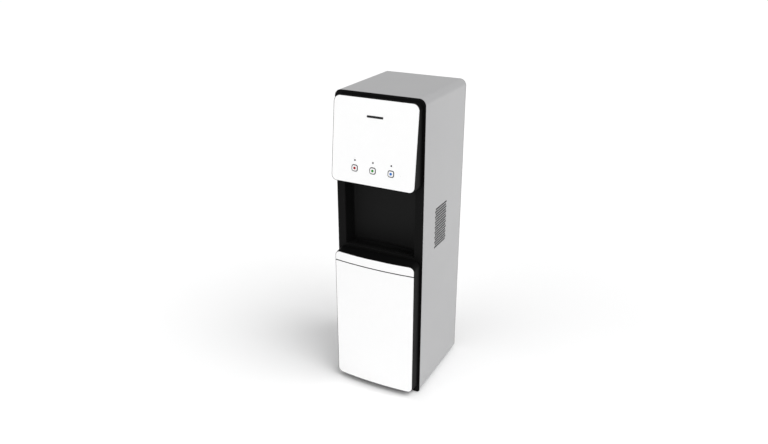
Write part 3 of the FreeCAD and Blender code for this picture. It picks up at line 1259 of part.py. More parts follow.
# ---------------------------------------------------------------- rear
def louvre_slots():
    slots = []
    _, low, high = condenser_box()
    step_x = LOUVRE_LENGTH + LOUVRE_WEB
    rows = int((high - low) / LOUVRE_PITCH)
    radius = LOUVRE_HEIGHT / 2.0 - LOUVRE_END_EASE
    for column in range(LOUVRE_COLUMNS):
        x = (column - (LOUVRE_COLUMNS - 1) / 2.0) * step_x
        for row in range(rows):
            z = low + row * LOUVRE_PITCH
            slots.append(plate(x - LOUVRE_LENGTH / 2.0, x + LOUVRE_LENGTH / 2.0, z, z + LOUVRE_HEIGHT,
                               radius, radius, SHELL_REAR - THROUGH, BACK + THROUGH))
    return slots


def rear_cover():
    """Dark moulded back that closes the cabinet, with louvre slots over the condenser."""
    inside = SHELL_REAR - THROUGH
    outside = BACK + THROUGH
    cover = plate(-HALF, HALF, FOOT_HEIGHT, TOP, COVER_LOW_RADIUS, TOP_RADIUS, SHELL_REAR, BACK)
    cover = cover.cut(group(louvre_slots()))
    x = inlet_place()
    half_w = INLET_WIDTH / 2.0 - FLANGE_OVERLAP
    half_h = INLET_HEIGHT / 2.0 - FLANGE_OVERLAP
    cover = cover.cut(box(x - half_w, x + half_w, inside, outside, SERVICE - half_h, SERVICE + half_h))
    width, height = switch_frame_size()
    half_w = width / 2.0 - FLANGE_OVERLAP
    half_h = height / 2.0 - FLANGE_OVERLAP
    cover = cover.cut(box(-half_w, half_w, inside, outside, SERVICE - half_h, SERVICE + half_h))
    for x in drain_places():
        cover = cover.cut(rod(SPOUT_RADIUS + FIT, Vector(x, inside, SERVICE), Vector(x, outside, SERVICE)))
    for x, z in screw_places():
        cover = cover.cut(rod(SCREW_RADIUS + FIT, Vector(x, inside, z), Vector(x, outside, z)))
    return cover


def screw_places():
    x = HALF - SHELL_FLANGE / 2.0 - SHELL_SHEET
    low = FOOT_HEIGHT + SCREW_LOW
    high = TOP - TOP_RADIUS - SCREW_TOP_GAP
    step = (high - low) / (SCREW_ROWS - 1)
    return [(side * x, low + row * step) for side in (-1, 1) for row in range(SCREW_ROWS)]


def rear_screws():
    """Pan-head screws through the rear cover."""
    screws = []
    end = BACK + SCREW_HEAD
    floor = end - SCREW_CROSS_DEPTH
    long_half = SCREW_CROSS_HALF
    short_half = SCREW_CROSS_WALL
    for x, z in screw_places():
        shank = rod(SCREW_RADIUS, Vector(x, SHELL_REAR, z), Vector(x, BACK, z))
        head = rod(SCREW_HEAD_RADIUS, Vector(x, BACK, z), Vector(x, end, z))
        upright = box(x - short_half, x + short_half, floor, end + THROUGH, z - long_half, z + long_half)
        level = box(x - long_half, x + long_half, floor, end + THROUGH, z - short_half, z + short_half)
        screws.append(fused([shank, head]).cut(upright.fuse(level)))
    return group(screws)


def inlet_place():
    return -(HALF - INLET_SIDE_GAP)


def power_inlet():
    """Three-pole appliance inlet in its flange, three blades standing in the socket."""
    x = inlet_place()
    half_w = INLET_WIDTH / 2.0
    half_h = INLET_HEIGHT / 2.0
    floor = BACK - SOCKET_DEPTH
    flange = plate(x - half_w, x + half_w, SERVICE - half_h, SERVICE + half_h,
                   INLET_FLANGE_RADIUS, INLET_FLANGE_RADIUS, BACK, BACK + INLET_FLANGE)
    inner_w = half_w - FLANGE_OVERLAP - FIT
    inner_h = half_h - FLANGE_OVERLAP - FIT
    body = box(x - inner_w, x + inner_w, BACK - INLET_DEPTH, BACK + INLET_FLANGE / 2.0,
               SERVICE - inner_h, SERVICE + inner_h)
    socket = plate(x - SOCKET_WIDTH / 2.0, x + SOCKET_WIDTH / 2.0, SERVICE - SOCKET_HEIGHT / 2.0,
                   SERVICE + SOCKET_HEIGHT / 2.0, SOCKET_LOW_RADIUS, SOCKET_TOP_RADIUS,
                   floor, BACK + THROUGH)
    inlet = fused([flange, body]).cut(socket)
    for dx, dz in BLADE_PLACES:
        inlet = inlet.fuse(box(x + dx - BLADE_WIDTH / 2.0, x + dx + BLADE_WIDTH / 2.0,
                               floor - BLADE_WIDTH, floor + BLADE_LENGTH,
                               SERVICE + dz - BLADE_HEIGHT / 2.0, SERVICE + dz + BLADE_HEIGHT / 2.0))
    return inlet.removeSplitter()


def rocker_places():
    return [(-ROCKER_PITCH / 2.0, "heat"), (ROCKER_PITCH / 2.0, "cool")]


def switch_frame_size():
    width = ROCKER_PITCH + ROCKER_WIDTH + 2.0 * ROCKER_FRAME_BORDER + 2.0 * RUN
    return width, ROCKER_HEIGHT + 2.0 * ROCKER_FRAME_BORDER + 2.0 * RUN


def rocker_pivot():
    """Place of the rockers' pins, measured from front to back."""
    return BACK - ROCKER_PIN_DEPTH


def switch_frame():
    """Housing of the two rear rocker switches, with a pin across each well."""
    width, height = switch_frame_size()
    flange = plate(-width / 2.0, width / 2.0, SERVICE - height / 2.0, SERVICE + height / 2.0,
                   ROCKER_FRAME_RADIUS, ROCKER_FRAME_RADIUS, BACK, BACK + ROCKER_FRAME_FLANGE)
    inner_w = width / 2.0 - FLANGE_OVERLAP - FIT
    inner_h = height / 2.0 - FLANGE_OVERLAP - FIT
    body = box(-inner_w, inner_w, BACK - ROCKER_FRAME_DEPTH, BACK + ROCKER_FRAME_FLANGE / 2.0,
               SERVICE - inner_h, SERVICE + inner_h)
    frame = fused([flange, body])
    half_w = ROCKER_WIDTH / 2.0 + RUN
    half_h = ROCKER_HEIGHT / 2.0 + RUN
    for x, _ in rocker_places():
        frame = frame.cut(box(x - half_w, x + half_w, BACK - ROCKER_WELL_DEPTH, BACK + THROUGH,
                              SERVICE - half_h, SERVICE + half_h))
        frame = frame.fuse(rod(ROCKER_PIN_RADIUS, Vector(x - half_w - FIT, rocker_pivot(), SERVICE),
                               Vector(x + half_w + FIT, rocker_pivot(), SERVICE)))
    return frame.removeSplitter()


def rocker(x):
    """Rocker pressed at the top: two flats in a shallow V, tilted about the pin."""
    half_w = ROCKER_WIDTH / 2.0
    pivot = rocker_pivot()
    end = ROCKER_HEIGHT / 2.0 - ROCKER_END_EASE
    crest = ROCKER_VALLEY + end * math.tan(math.radians(ROCKER_TILT_DEG))
    profile = list(ROCKER_UNDERSIDE)
    profile += [(ROCKER_SHOULDER, end), (crest, end), (ROCKER_VALLEY, 0.0), (crest, -end),
                (ROCKER_SHOULDER, -end)]
    corners = [Vector(x - half_w, pivot + out, SERVICE + up) for out, up in profile]
    body = Part.Face(Part.makePolygon(corners + corners[:1])).extrude(Vector(ROCKER_WIDTH, 0, 0))
    body = body.cut(rod(ROCKER_PIN_RADIUS + PIN_FIT, Vector(x - ROCKER_WIDTH, pivot, SERVICE),
                        Vector(x + ROCKER_WIDTH, pivot, SERVICE)))
    body.rotate(Vector(x, pivot, SERVICE), X_AXIS, ROCKER_TILT_DEG)
    return body


def drain_places():
    middle = HALF - DRAIN_SIDE_GAP
    return [middle - DRAIN_PITCH / 2.0, middle + DRAIN_PITCH / 2.0]


def drain_caps():
    """Screw caps on the two tank drains, each with a grip bar across its dish."""
    caps = []
    sunk = BACK + DRAIN_GRIP_SINK
    end = BACK + REAR_REACH
    for x in drain_places():
        spout = rod(SPOUT_RADIUS, Vector(x, BACK - SPOUT_LENGTH, SERVICE), Vector(x, BACK, SERVICE))
        cap = rod(DRAIN_RADIUS, Vector(x, BACK, SERVICE), Vector(x, end, SERVICE))
        dish = rod(DRAIN_DISH, Vector(x, sunk, SERVICE), Vector(x, end + THROUGH, SERVICE))
        grip = box(x - DRAIN_GRIP_HALF, x + DRAIN_GRIP_HALF, sunk, end,
                   SERVICE - DRAIN_DISH, SERVICE + DRAIN_DISH)
        caps.append(fused([spout, cap.cut(dish), grip]))
    return group(caps)


# ---------------------------------------------------------------- all pieces
def all_parts():
    parts = {
        "cabinet_shell": cabinet_shell(),
        "base_plate": base_plate(),
        "rubber_feet": rubber_feet(),
        "middle_shelf": middle_shelf(),
        "front_bezel": front_bezel(),
        "niche_liner": niche_liner(),
        "drip_tray": drip_tray(),
        "drip_grille": drip_grille(),
        "panel_housing": panel_housing(),
        "control_panel": control_panel(),
        "badge": badge(),
        "key_rings": key_rings(),
        "key_board": key_board(),
        "key_switches": key_switches(),
        "indicator_lamps": indicator_lamps(),
        "door_carcass": door_carcass(),
        "door_inner_panel": door_inner_panel(),
        "door_face": door_face(),
        "door_top_strip": door_top_strip(),
        "door_magnet": door_magnet(),
        "strike_plate": strike_plate(),
        "hinge_tabs": hinge_tabs(),
        "hinge_pins": hinge_pins(),
        "solenoid_valves": solenoid_valves(),
        "tank_bracket": tank_bracket(),
        "cold_tank": cold_tank(),
        "cold_foam": cold_foam(),
        "evaporator_coil": evaporator_coil(),
        "hot_tank": hot_tank(),
        "band_heater": band_heater(),
        "hot_jacket": hot_jacket(),
        "water_lines": water_lines(),
        "compressor": compressor(),
        "compressor_grommets": compressor_grommets(),
        "refrigerant_lines": refrigerant_lines(),
        "condenser_tube": condenser_tube(),
        "condenser_wires": condenser_wires(),
        "water_pump": water_pump(),
        "control_board": control_board(),
        "bottle_probe": bottle_probe(),
        "probe_hose": probe_hose(),
        "probe_clip": probe_clip(),
        "rear_cover": rear_cover(),
        "rear_screws": rear_screws(),
        "power_inlet": power_inlet(),
        "switch_frame": switch_frame(),
        "drain_caps": drain_caps(),
    }
    for x, name in key_places():
        parts["key_" + name] = key(x)
        parts["key_dot_" + name] = key_dot(x)
    for x, name in nozzle_places():
        parts["nozzle_" + name] = nozzle(x)
    for x, name in rocker_places():
        parts["rocker_" + name] = rocker(x)
    return parts


os.makedirs("parts", exist_ok=True)
for node, shape in all_parts().items():
    if not shape.isValid():
        print("not valid:", node)
    if any(solid.Volume <= 0.0 for solid in shape.Solids) or not shape.Solids:
        print("no solid:", node)
    shape.exportStep("parts/" + node + ".step")
print("pin", round(HINGE_X, 3), round(HINGE_Y, 3), "rocker", round(rocker_pivot(), 3), round(SERVICE, 3))
print("face", round(FACE, 3), "back", round(BACK, 3), "tilt", round(PANEL_TILT, 4))
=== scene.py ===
import math

import bmesh
import bpy
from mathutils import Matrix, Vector


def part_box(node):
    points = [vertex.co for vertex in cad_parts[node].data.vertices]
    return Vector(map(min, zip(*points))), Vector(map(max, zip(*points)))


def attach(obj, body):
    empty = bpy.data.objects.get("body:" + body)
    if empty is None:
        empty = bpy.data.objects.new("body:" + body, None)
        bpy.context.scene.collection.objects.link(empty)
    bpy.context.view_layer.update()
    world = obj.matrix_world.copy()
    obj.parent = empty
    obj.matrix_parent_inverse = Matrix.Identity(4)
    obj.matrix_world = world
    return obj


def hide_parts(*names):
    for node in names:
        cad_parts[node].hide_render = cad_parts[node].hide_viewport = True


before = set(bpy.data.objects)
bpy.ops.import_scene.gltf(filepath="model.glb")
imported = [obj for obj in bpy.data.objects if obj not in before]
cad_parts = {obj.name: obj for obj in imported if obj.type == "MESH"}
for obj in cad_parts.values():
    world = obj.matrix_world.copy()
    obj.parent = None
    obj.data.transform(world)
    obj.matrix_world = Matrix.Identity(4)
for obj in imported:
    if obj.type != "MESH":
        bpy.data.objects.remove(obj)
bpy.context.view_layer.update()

MM = 0.001


# ---------------------------------------------------------------- room, light and camera
# A pale matt studio floor that runs past the edge of the view, lit by large soft panels
# and an even white surround, so that black, white and silver parts all keep their form.
def linear(code):
    """Turns an sRGB hex value into a linear colour."""
    parts = [int(code[i:i + 2], 16) / 255.0 for i in (1, 3, 5)]
    return tuple(c / 12.92 if c <= 0.04045 else ((c + 0.055) / 1.055) ** 2.4 for c in parts) + (1.0,)


def add(tree, kind, plugs=None, **settings):
    """Adds a node; plugs gives its inputs numbers, colours or the outputs of other nodes."""
    made = tree.nodes.new(kind)
    for key, value in settings.items():
        setattr(made, key, value)
    for key, value in (plugs or {}).items():
        if isinstance(value, bpy.types.NodeSocket):
            tree.links.new(value, made.inputs[key])
        else:
            made.inputs[key].default_value = value
    return made


def finish(name, colour, second, rough, grain, relief, kind="ShaderNodeTexNoise", stretch=(1, 1, 1),
           cloud=90.0, swing=0.05, detail=3.0, **shader):
    """Material with a grain in millimetres that moves its roughness and relief, and a broad
    slow cloud in millimetres that mixes its two colours; shader holds the other sockets."""
    made = bpy.data.materials.new(name)
    made.use_nodes = True
    tree = made.node_tree
    tree.nodes.clear()
    place = add(tree, "ShaderNodeTexCoord").outputs["Object"]
    drawn = add(tree, "ShaderNodeMapping", {"Vector": place, "Scale": stretch}).outputs[0]
    texture = add(tree, kind, {"Vector": drawn, "Scale": 1.0 / (grain * MM)})
    if kind == "ShaderNodeTexNoise":
        texture.inputs["Detail"].default_value = detail
    height = texture.outputs["Distance" if kind == "ShaderNodeTexVoronoi" else 0]
    slow = add(tree, "ShaderNodeTexNoise", {"Vector": drawn, "Scale": 1.0 / (cloud * MM), "Detail": 2.0})
    both = add(tree, "ShaderNodeMath", {0: slow.outputs[0], 1: height}, operation="ADD")
    half = add(tree, "ShaderNodeMath", {0: both.outputs[0], 1: 0.5}, operation="MULTIPLY")
    mix = add(tree, "ShaderNodeMix", {"Factor": half.outputs[0]}, data_type="RGBA")
    mix.inputs[6].default_value = linear(colour)
    mix.inputs[7].default_value = linear(second)
    gloss = add(tree, "ShaderNodeMapRange", {"Value": half.outputs[0], "To Min": rough - swing,
                                             "To Max": rough + swing})
    bump = add(tree, "ShaderNodeBump", {"Height": height, "Strength": 0.6, "Distance": relief * MM})
    surface = add(tree, "ShaderNodeBsdfPrincipled", {"Base Color": mix.outputs[2],
                                                     "Roughness": gloss.outputs[0],
                                                     "Normal": bump.outputs[0]})
    for key, value in shader.items():
        surface.inputs[key.replace("_", " ")].default_value = value
    add(tree, "ShaderNodeOutputMaterial", {"Surface": surface.outputs[0]})
    return made


def solid(name, corners, faces, *finishes):
    """Mesh object from corners and faces."""
    mesh = bpy.data.meshes.new(name)
    mesh.from_pydata([tuple(c) for c in corners], [], faces)
    made = bpy.data.objects.new(name, mesh)
    bpy.context.scene.collection.objects.link(made)
    for one in finishes:
        mesh.materials.append(one)
    return made


# matt studio vinyl: even, no shine, a whisper of mottling
floor_vinyl = finish("floor_vinyl_matt", "#fbfbfb", "#f6f6f6", 0.85, 6.0, 0.02, cloud=400.0)
REACH = 80.0                               # metres from the object to each edge of the floor
floor = solid("studio_floor", [(-REACH, -REACH, 0), (REACH, -REACH, 0), (REACH, REACH, 0),
                               (-REACH, REACH, 0)], [(0, 1, 2, 3)], floor_vinyl)

scene = bpy.context.scene
scene.view_settings.view_transform = "Standard"      # plain sRGB, so white plastic stays white
surround = bpy.data.worlds.new("studio_surround")
surround.use_nodes = True
SURROUND_WHITE, SURROUND_POWER = (1.0, 1.0, 1.0, 1.0), 0.46
surround.node_tree.nodes["Background"].inputs["Color"].default_value = SURROUND_WHITE
surround.node_tree.nodes["Background"].inputs["Strength"].default_value = SURROUND_POWER
scene.world = surround

# each soft panel: its name, where it stands, how wide it spreads in degrees, and its power
MIDDLE = Vector((0.0, 0.0, 0.55))
for name, spot, spread, power in (("softbox_front", (-1.5, -2.7, 1.6), 60.0, 1.30),
                                  ("softbox_side", (1.9, -0.35, 3.3), 50.0, 2.05)):
    lamp = bpy.data.lights.new(name, "SUN")
    lamp.angle = math.radians(spread)
    lamp.energy = power
    stand = bpy.data.objects.new(name, lamp)
    stand.location = spot
    stand.rotation_euler = (MIDDLE - Vector(spot)).to_track_quat("-Z", "Y").to_euler()
    scene.collection.objects.link(stand)

# the camera stands off the object's right front, half a metre above its top, and looks down on it
EYE_PLACE = (0.9814, -1.99905, 1.5190)
EYE_TILT, EYE_TURN = math.radians(66.76), math.radians(27.395)
EYE_LENS, EYE_SENSOR = 33.19, 36.0
eye = bpy.data.objects.new("camera", bpy.data.cameras.new("camera"))
eye.data.lens = EYE_LENS
eye.data.sensor_width = EYE_SENSOR
eye.location = EYE_PLACE
eye.rotation_euler = (EYE_TILT, 0.0, EYE_TURN)
scene.collection.objects.link(eye)
scene.camera = eye


# ---------------------------------------------------------------- wrap-over shell
# One sheet of 1 mm steel rolled over both sides and the top and powder coated silver-grey,
# returned 12 mm along the rear, with staggered rows of holes punched through each side.
def settled(piece, crease=32.0):
    """Applies the piece's modifiers and shades it, soft over rounds and crisp at folds."""
    for step in range(2):
        view = bpy.context.evaluated_depsgraph_get()
        mesh = bpy.data.meshes.new_from_object(piece.evaluated_get(view))
        piece.modifiers.clear()
        piece.data = mesh
        if step == 0:
            mesh.shade_smooth()
            mesh.set_sharp_from_angle(angle=math.radians(crease))
            evened = piece.modifiers.new("evened", "WEIGHTED_NORMAL")
            evened.keep_sharp = True
    return piece


def rounded(piece, width, segments=3, angle=32.0):
    """Rounds every outward edge sharper than the angle, by a width in millimetres."""
    shape = bmesh.new()
    shape.from_mesh(piece.data)
    weight = shape.edges.layers.float.new("bevel_weight_edge")
    for fold in shape.edges:
        if fold.is_manifold and fold.is_convex and fold.calc_face_angle() > math.radians(angle):
            fold[weight] = 1.0
    shape.to_mesh(piece.data)
    shape.free()
    edge = piece.modifiers.new("edge", "BEVEL")
    edge.width = width * MM
    edge.segments = segments
    edge.limit_method = "WEIGHT"
    edge.use_clamp_overlap = False
    return piece


def fitted(piece, body, slot, *nodes):
    """Hangs the piece on its body and hides what it stands for; its slot is not used."""
    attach(piece, body)
    if nodes:
        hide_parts(*nodes)
    return piece


def punch_tree():
    """Geometry nodes that punch a grid of rounded holes, every other row staggered."""
    tree = bpy.data.node_groups.new("punched_holes", "GeometryNodeTree")
    face = tree.interface
    face.new_socket("Sheet", in_out="OUTPUT", socket_type="NodeSocketGeometry")
    face.new_socket("Sheet", in_out="INPUT", socket_type="NodeSocketGeometry")
    for label, kind in (("Columns", "Int"), ("Rows", "Int"), ("Pitch along", "Float"), ("Pitch up", "Float"),
                        ("Stagger", "Float"), ("Hole length", "Float"), ("Hole height", "Float"),
                        ("Corner radius", "Float"), ("Depth", "Float"), ("Centre", "Vector"),
                        ("Turn", "Vector"), ("Finish", "Material"), ("Edge finish", "Material")):
        face.new_socket(label, in_out="INPUT", socket_type="NodeSocket" + kind)
    given = add(tree, "NodeGroupInput").outputs

    gaps_along = add(tree, "ShaderNodeMath", {0: given["Columns"], 1: 1.0}, operation="SUBTRACT")
    gaps_up = add(tree, "ShaderNodeMath", {0: given["Rows"], 1: 1.0}, operation="SUBTRACT")
    across = add(tree, "ShaderNodeMath", {0: gaps_along.outputs[0], 1: given["Pitch along"]},
                 operation="MULTIPLY")
    upward = add(tree, "ShaderNodeMath", {0: gaps_up.outputs[0], 1: given["Pitch up"]},
                 operation="MULTIPLY")
    grid = add(tree, "GeometryNodeMeshGrid", {"Size X": across.outputs[0], "Size Y": upward.outputs[0],
                                              "Vertices X": given["Columns"],
                                              "Vertices Y": given["Rows"]})
    place = add(tree, "GeometryNodeInputPosition")
    where = add(tree, "ShaderNodeSeparateXYZ", {0: place.outputs[0]})
    half_up = add(tree, "ShaderNodeMath", {0: upward.outputs[0], 1: 0.5}, operation="MULTIPLY")
    lifted = add(tree, "ShaderNodeMath", {0: where.outputs["Y"], 1: half_up.outputs[0]},
                 operation="ADD")
    steps_up = add(tree, "ShaderNodeMath", {0: lifted.outputs[0], 1: given["Pitch up"]},
                   operation="DIVIDE")
    row = add(tree, "ShaderNodeMath", {0: steps_up.outputs[0]}, operation="ROUND")
    odd = add(tree, "ShaderNodeMath", {0: row.outputs[0], 1: 2.0}, operation="MODULO")
    shift = add(tree, "ShaderNodeMath", {0: odd.outputs[0], 1: given["Stagger"]}, operation="MULTIPLY")
    aside = add(tree, "ShaderNodeCombineXYZ", {"X": shift.outputs[0]})
    spread = add(tree, "GeometryNodeSetPosition", {"Geometry": grid.outputs["Mesh"],
                                                   "Offset": aside.outputs[0]})
    shape = add(tree, "GeometryNodeCurvePrimitiveQuadrilateral", {"Width": given["Hole length"],
                                                                  "Height": given["Hole height"]})
    soft = add(tree, "GeometryNodeFilletCurve", {"Curve": shape.outputs[0],
                                                 "Radius": given["Corner radius"]})
    if hasattr(soft, "mode"):
        soft.mode = "POLY"
    soft.inputs["Count"].default_value = 4
    half_depth = add(tree, "ShaderNodeMath", {0: given["Depth"], 1: 0.5}, operation="MULTIPLY")
    depth = add(tree, "ShaderNodeCombineXYZ", {"Z": half_depth.outputs[0]})
    under = add(tree, "ShaderNodeVectorMath", {0: depth.outputs[0], "Scale": -1.0}, operation="SCALE")
    line = add(tree, "GeometryNodeCurvePrimitiveLine", {"Start": under.outputs[0],
                                                        "End": depth.outputs[0]})
    tool = add(tree, "GeometryNodeCurveToMesh", {"Curve": line.outputs[0],
                                                 "Profile Curve": soft.outputs[0], "Fill Caps": True})
    tools = add(tree, "GeometryNodeInstanceOnPoints", {"Points": spread.outputs[0],
                                                       "Instance": tool.outputs[0]})
    turned = add(tree, "GeometryNodeTransform", {"Geometry": tools.outputs[0],
                                                 "Translation": given["Centre"],
                                                 "Rotation": given["Turn"]})
    real = add(tree, "GeometryNodeRealizeInstances", {"Geometry": turned.outputs[0]})
    edged = add(tree, "GeometryNodeSetMaterial", {"Geometry": real.outputs[0],
                                                  "Material": given["Edge finish"]})
    cut = add(tree, "GeometryNodeMeshBoolean", {"Mesh 1": given["Sheet"], "Mesh 2": edged.outputs[0]},
              operation="DIFFERENCE", solver="EXACT")
    whole = add(tree, "GeometryNodeRealizeInstances", {"Geometry": cut.outputs[0]})
    walls = add(tree, "GeometryNodeMaterialSelection", {"Material": given["Edge finish"]})
    rest = add(tree, "FunctionNodeBooleanMath", {0: walls.outputs[0]}, operation="NOT")
    painted = add(tree, "GeometryNodeSetMaterial", {"Geometry": whole.outputs[0],
                                                    "Selection": rest.outputs[0],
                                                    "Material": given["Finish"]})
    add(tree, "NodeGroupOutput", {0: painted.outputs[0]})
    return tree


def grown(piece, tree, **values):
    """Puts a geometry-nodes tree on the piece with its inputs set by their identifiers."""
    step = piece.modifiers.new(tree.name, "NODES")
    step.node_group = tree
    for socket in tree.interface.items_tree:
        key = socket.name.replace(" ", "_").lower()
        if socket.in_out == "INPUT" and key in values:
            step[socket.identifier] = values[key]
    return piece


def rolled_line(half, low, top, radius, count=20):
    """Cross-section of the wrap: up one side, over the top, down the other."""
    line = [(-half, low)]
    for side, start in ((-1, math.pi), (1, math.pi / 2.0)):
        for step in range(count + 1):
            angle = start - step * math.pi / 2.0 / count
            line.append((side * (half - radius) + radius * math.cos(angle),
                         top - radius + radius * math.sin(angle)))
    line.append((half, low))
    return line


# powder coat on steel: satin, with the fine orange peel of a baked powder, peel about 1.4 mm
powder_coat = finish("powder_coat_silver_grey", "#a7a7a8", "#a2a2a3", 0.36, 1.4, 0.03,
                     swing=0.04, cloud=160.0, IOR=1.5, Coat_Weight=0.25, Coat_Roughness=0.22)

shell_low, shell_high = (Vector(c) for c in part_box("cabinet_shell"))
SHEET = 1.0 * MM
ROLL = 22.0 * MM
RETURN = 12.0 * MM
lines = [(shell_low.y, rolled_line(shell_high.x, shell_low.z, shell_high.z, ROLL)),
         (shell_high.y, rolled_line(shell_high.x, shell_low.z, shell_high.z, ROLL)),
         (shell_high.y, rolled_line(shell_high.x - RETURN, shell_low.z, shell_high.z - RETURN,
                                    ROLL - RETURN))]
points = [(x, y, z) for y, line in lines for x, z in line]
span = len(lines[0][1])
strips = [(k * span + i, k * span + i + 1, (k + 1) * span + i + 1, (k + 1) * span + i)
          for k in range(len(lines) - 1) for i in range(span - 1)]
shell = solid("wrap_over_shell", points, strips, powder_coat)
wall = shell.modifiers.new("wall", "SOLIDIFY")
wall.thickness = SHEET
wall.offset = -1.0
wall.use_even_offset = True
settled(shell)
rounded(shell, 0.35, 2)

# walls of the punched holes: a dull dark grey, painted shade on walls that really carry the same silver-grey
# coat, so that the holes still show from a slant
painted_shade_hole_walls = finish("dull_punched_edge", "#2c2c2d", "#383839", 0.6, 0.8, 0.01, IOR=1.5,
                      Specular_IOR_Level=0.1)
VENT_COLUMNS, VENT_ROWS = 10, 16
VENT_PITCH, VENT_RISE = 9.0 * MM, 8.95 * MM
VENT_HOLE_LENGTH, VENT_HOLE_HEIGHT, VENT_HOLE_ROUND = 7.6 * MM, 6.8 * MM, 1.6 * MM
VENT_SETBACK = 95.15 * MM                  # shell's front edge to the middle of the first hole
VENT_LIFT = 3.5 * MM                       # drip cover up to the middle of the lowest row
VENT_START = shell_low.y + VENT_SETBACK
VENT_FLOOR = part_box("drip_grille")[1][2] + VENT_LIFT
PUNCH_PAST = 10.0 * MM                     # how far the punches reach past the shell
punched = punch_tree()
# the walls of the vent holes take the dull dark grey, a painted shade
grown(shell, punched, columns=VENT_COLUMNS, rows=VENT_ROWS, pitch_along=VENT_PITCH,
      pitch_up=VENT_RISE, stagger=VENT_PITCH / 2.0, hole_length=VENT_HOLE_LENGTH,
      hole_height=VENT_HOLE_HEIGHT, corner_radius=VENT_HOLE_ROUND,
      depth=(shell_high.x - shell_low.x) + 2.0 * PUNCH_PAST,
      centre=(0.0, VENT_START + (VENT_COLUMNS - 1) * VENT_PITCH / 2.0,
              VENT_FLOOR + (VENT_ROWS - 1) * VENT_RISE / 2.0),
      turn=(math.pi / 2.0, 0.0, math.pi / 2.0), finish=powder_coat, edge_finish=painted_shade_hole_walls)
fitted(settled(shell), "cabinet", "shell_paint", "cabinet_shell")

# black nylon gauze glued behind the holes keeps dust out; here it is a solid black sheet, painted shade for
# the dark inside of the cabinet seen through the holes; its threads are drawn 1.2 mm apart
painted_shade_gauze = finish("black_nylon_gauze", "#0b0b0b", "#161616", 0.8, 1.2, 0.05, kind="ShaderNodeTexVoronoi",
               IOR=1.53, Specular_IOR_Level=0.1)
GAUZE_BORDER, GAUZE_GAP, GAUZE = 5.0 * MM, 0.3 * MM, 0.5 * MM
gauze_y = (VENT_START - VENT_PITCH / 2.0 - GAUZE_BORDER,
           VENT_START + VENT_COLUMNS * VENT_PITCH + GAUZE_BORDER)
gauze_z = (VENT_FLOOR - VENT_RISE / 2.0 - GAUZE_BORDER, VENT_FLOOR + VENT_ROWS * VENT_RISE)
BOX_FACES = [(0, 1, 3, 2), (4, 6, 7, 5), (0, 4, 5, 1), (2, 3, 7, 6), (0, 2, 6, 4), (1, 5, 7, 3)]
for hand, side in (("left", -1), ("right", 1)):
    outer = side * (shell_high.x - SHEET - GAUZE_GAP)
    inner = outer - side * GAUZE
    near, far = sorted((outer, inner))
    # each side's solid black sheet is painted shade behind its vent
    screen = solid(hand + "_dust_gauze",
                   [(x, y, z) for x in (near, far) for y in gauze_y for z in gauze_z], BOX_FACES, painted_shade_gauze)
    rounded(screen, 0.1, 1)
    fitted(settled(screen), "cabinet", "black_abs")


# ---------------------------------------------------------------- floor pan, shelf and feet
# Folded galvanised steel: a floor pan the bottle stands on, a shelf above the bottle space and
# a bracket for the tanks. Four moulded rubber feet are pressed through the pan.
MERGE_GAP = 0.002 * MM                     # corners nearer than this are one
FLAT_ANGLE = math.radians(0.5)             # faces within this angle are one flat


def softened(node, name, width, material, body, slot, segments=3, crease=32.0, framed=False):
    """A copy of a CAD node with its doubles merged and its edges rounded as a mould leaves them;
    a framed one has wide openings in its flat faces, which are split before the rounding."""
    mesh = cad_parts[node].data.copy()
    clean = bmesh.new()
    clean.from_mesh(mesh)
    bmesh.ops.remove_doubles(clean, verts=clean.verts, dist=MERGE_GAP)
    bmesh.ops.dissolve_limit(clean, angle_limit=FLAT_ANGLE, verts=clean.verts, edges=clean.edges)
    if framed:
        bmesh.ops.triangulate(clean, faces=[face for face in clean.faces if len(face.verts) > 4])
    clean.to_mesh(mesh)
    clean.free()
    mesh.name = name
    mesh.materials.clear()
    mesh.materials.append(material)
    for face in mesh.polygons:
        face.material_index = 0
    piece = bpy.data.objects.new(name, mesh)
    scene.collection.objects.link(piece)
    rounded(piece, width, segments)
    settled(piece, crease)
    low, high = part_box(node)
    for corner in piece.data.vertices:
        corner.co = [min(max(c, a), b) for c, a, b in zip(corner.co, low, high)]
    return fitted(piece, body, slot, node)


def clad(material, *nodes):
    """Gives CAD nodes whose shape is right their material."""
    for node in nodes:
        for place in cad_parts[node].material_slots:
            place.material = material


# hot-dip galvanised sheet: dull silver with spangle flakes about 9 mm across
galvanised = finish("galvanised_sheet", "#9aa0a4", "#b4b9bc", 0.38, 9.0, 0.01,
                    kind="ShaderNodeTexVoronoi", swing=0.1, Metallic=1.0)
clad(galvanised, "middle_shelf", "tank_bracket")
softened("base_plate", "floor_pan", 0.5, galvanised, "cabinet", "galvanised")

# moulded black rubber: deep matt with a fine dusty tooth
rubber = finish("black_moulded_rubber", "#1f1f20", "#2a2a2b", 0.72, 0.8, 0.03, IOR=1.52)
softened("rubber_feet", "moulded_feet", 1.2, rubber, "cabinet", "foot_rubber")
clad(rubber, "compressor_grommets")


# ---------------------------------------------------------------- front bezel and niche
# Black ABS mouldings: a frame over the whole front that plugs into the shell, and a lining for
# the dispensing niche with a curved back and a well for the drip tray.
# satin black ABS, lightly spark-textured; the texture is about 0.7 mm, drawn as it is
black_abs = finish("satin_black_abs", "#090909", "#0d0d0d", 0.45, 0.7, 0.02, swing=0.05,
                   IOR=1.54, Specular_IOR_Level=0.05)
# the same plastic painted a shade lighter, painted light that lifts the niche out of its own shade so that
# it does not read as a hole
niche_abs_painted_light = finish("niche_black_abs", "#121212", "#171717", 0.46, 0.7, 0.02, swing=0.05,
                   IOR=1.54, Specular_IOR_Level=0.07)
softened("front_bezel", "bezel_moulding", 0.7, black_abs, "cabinet", "black_abs", framed=True)
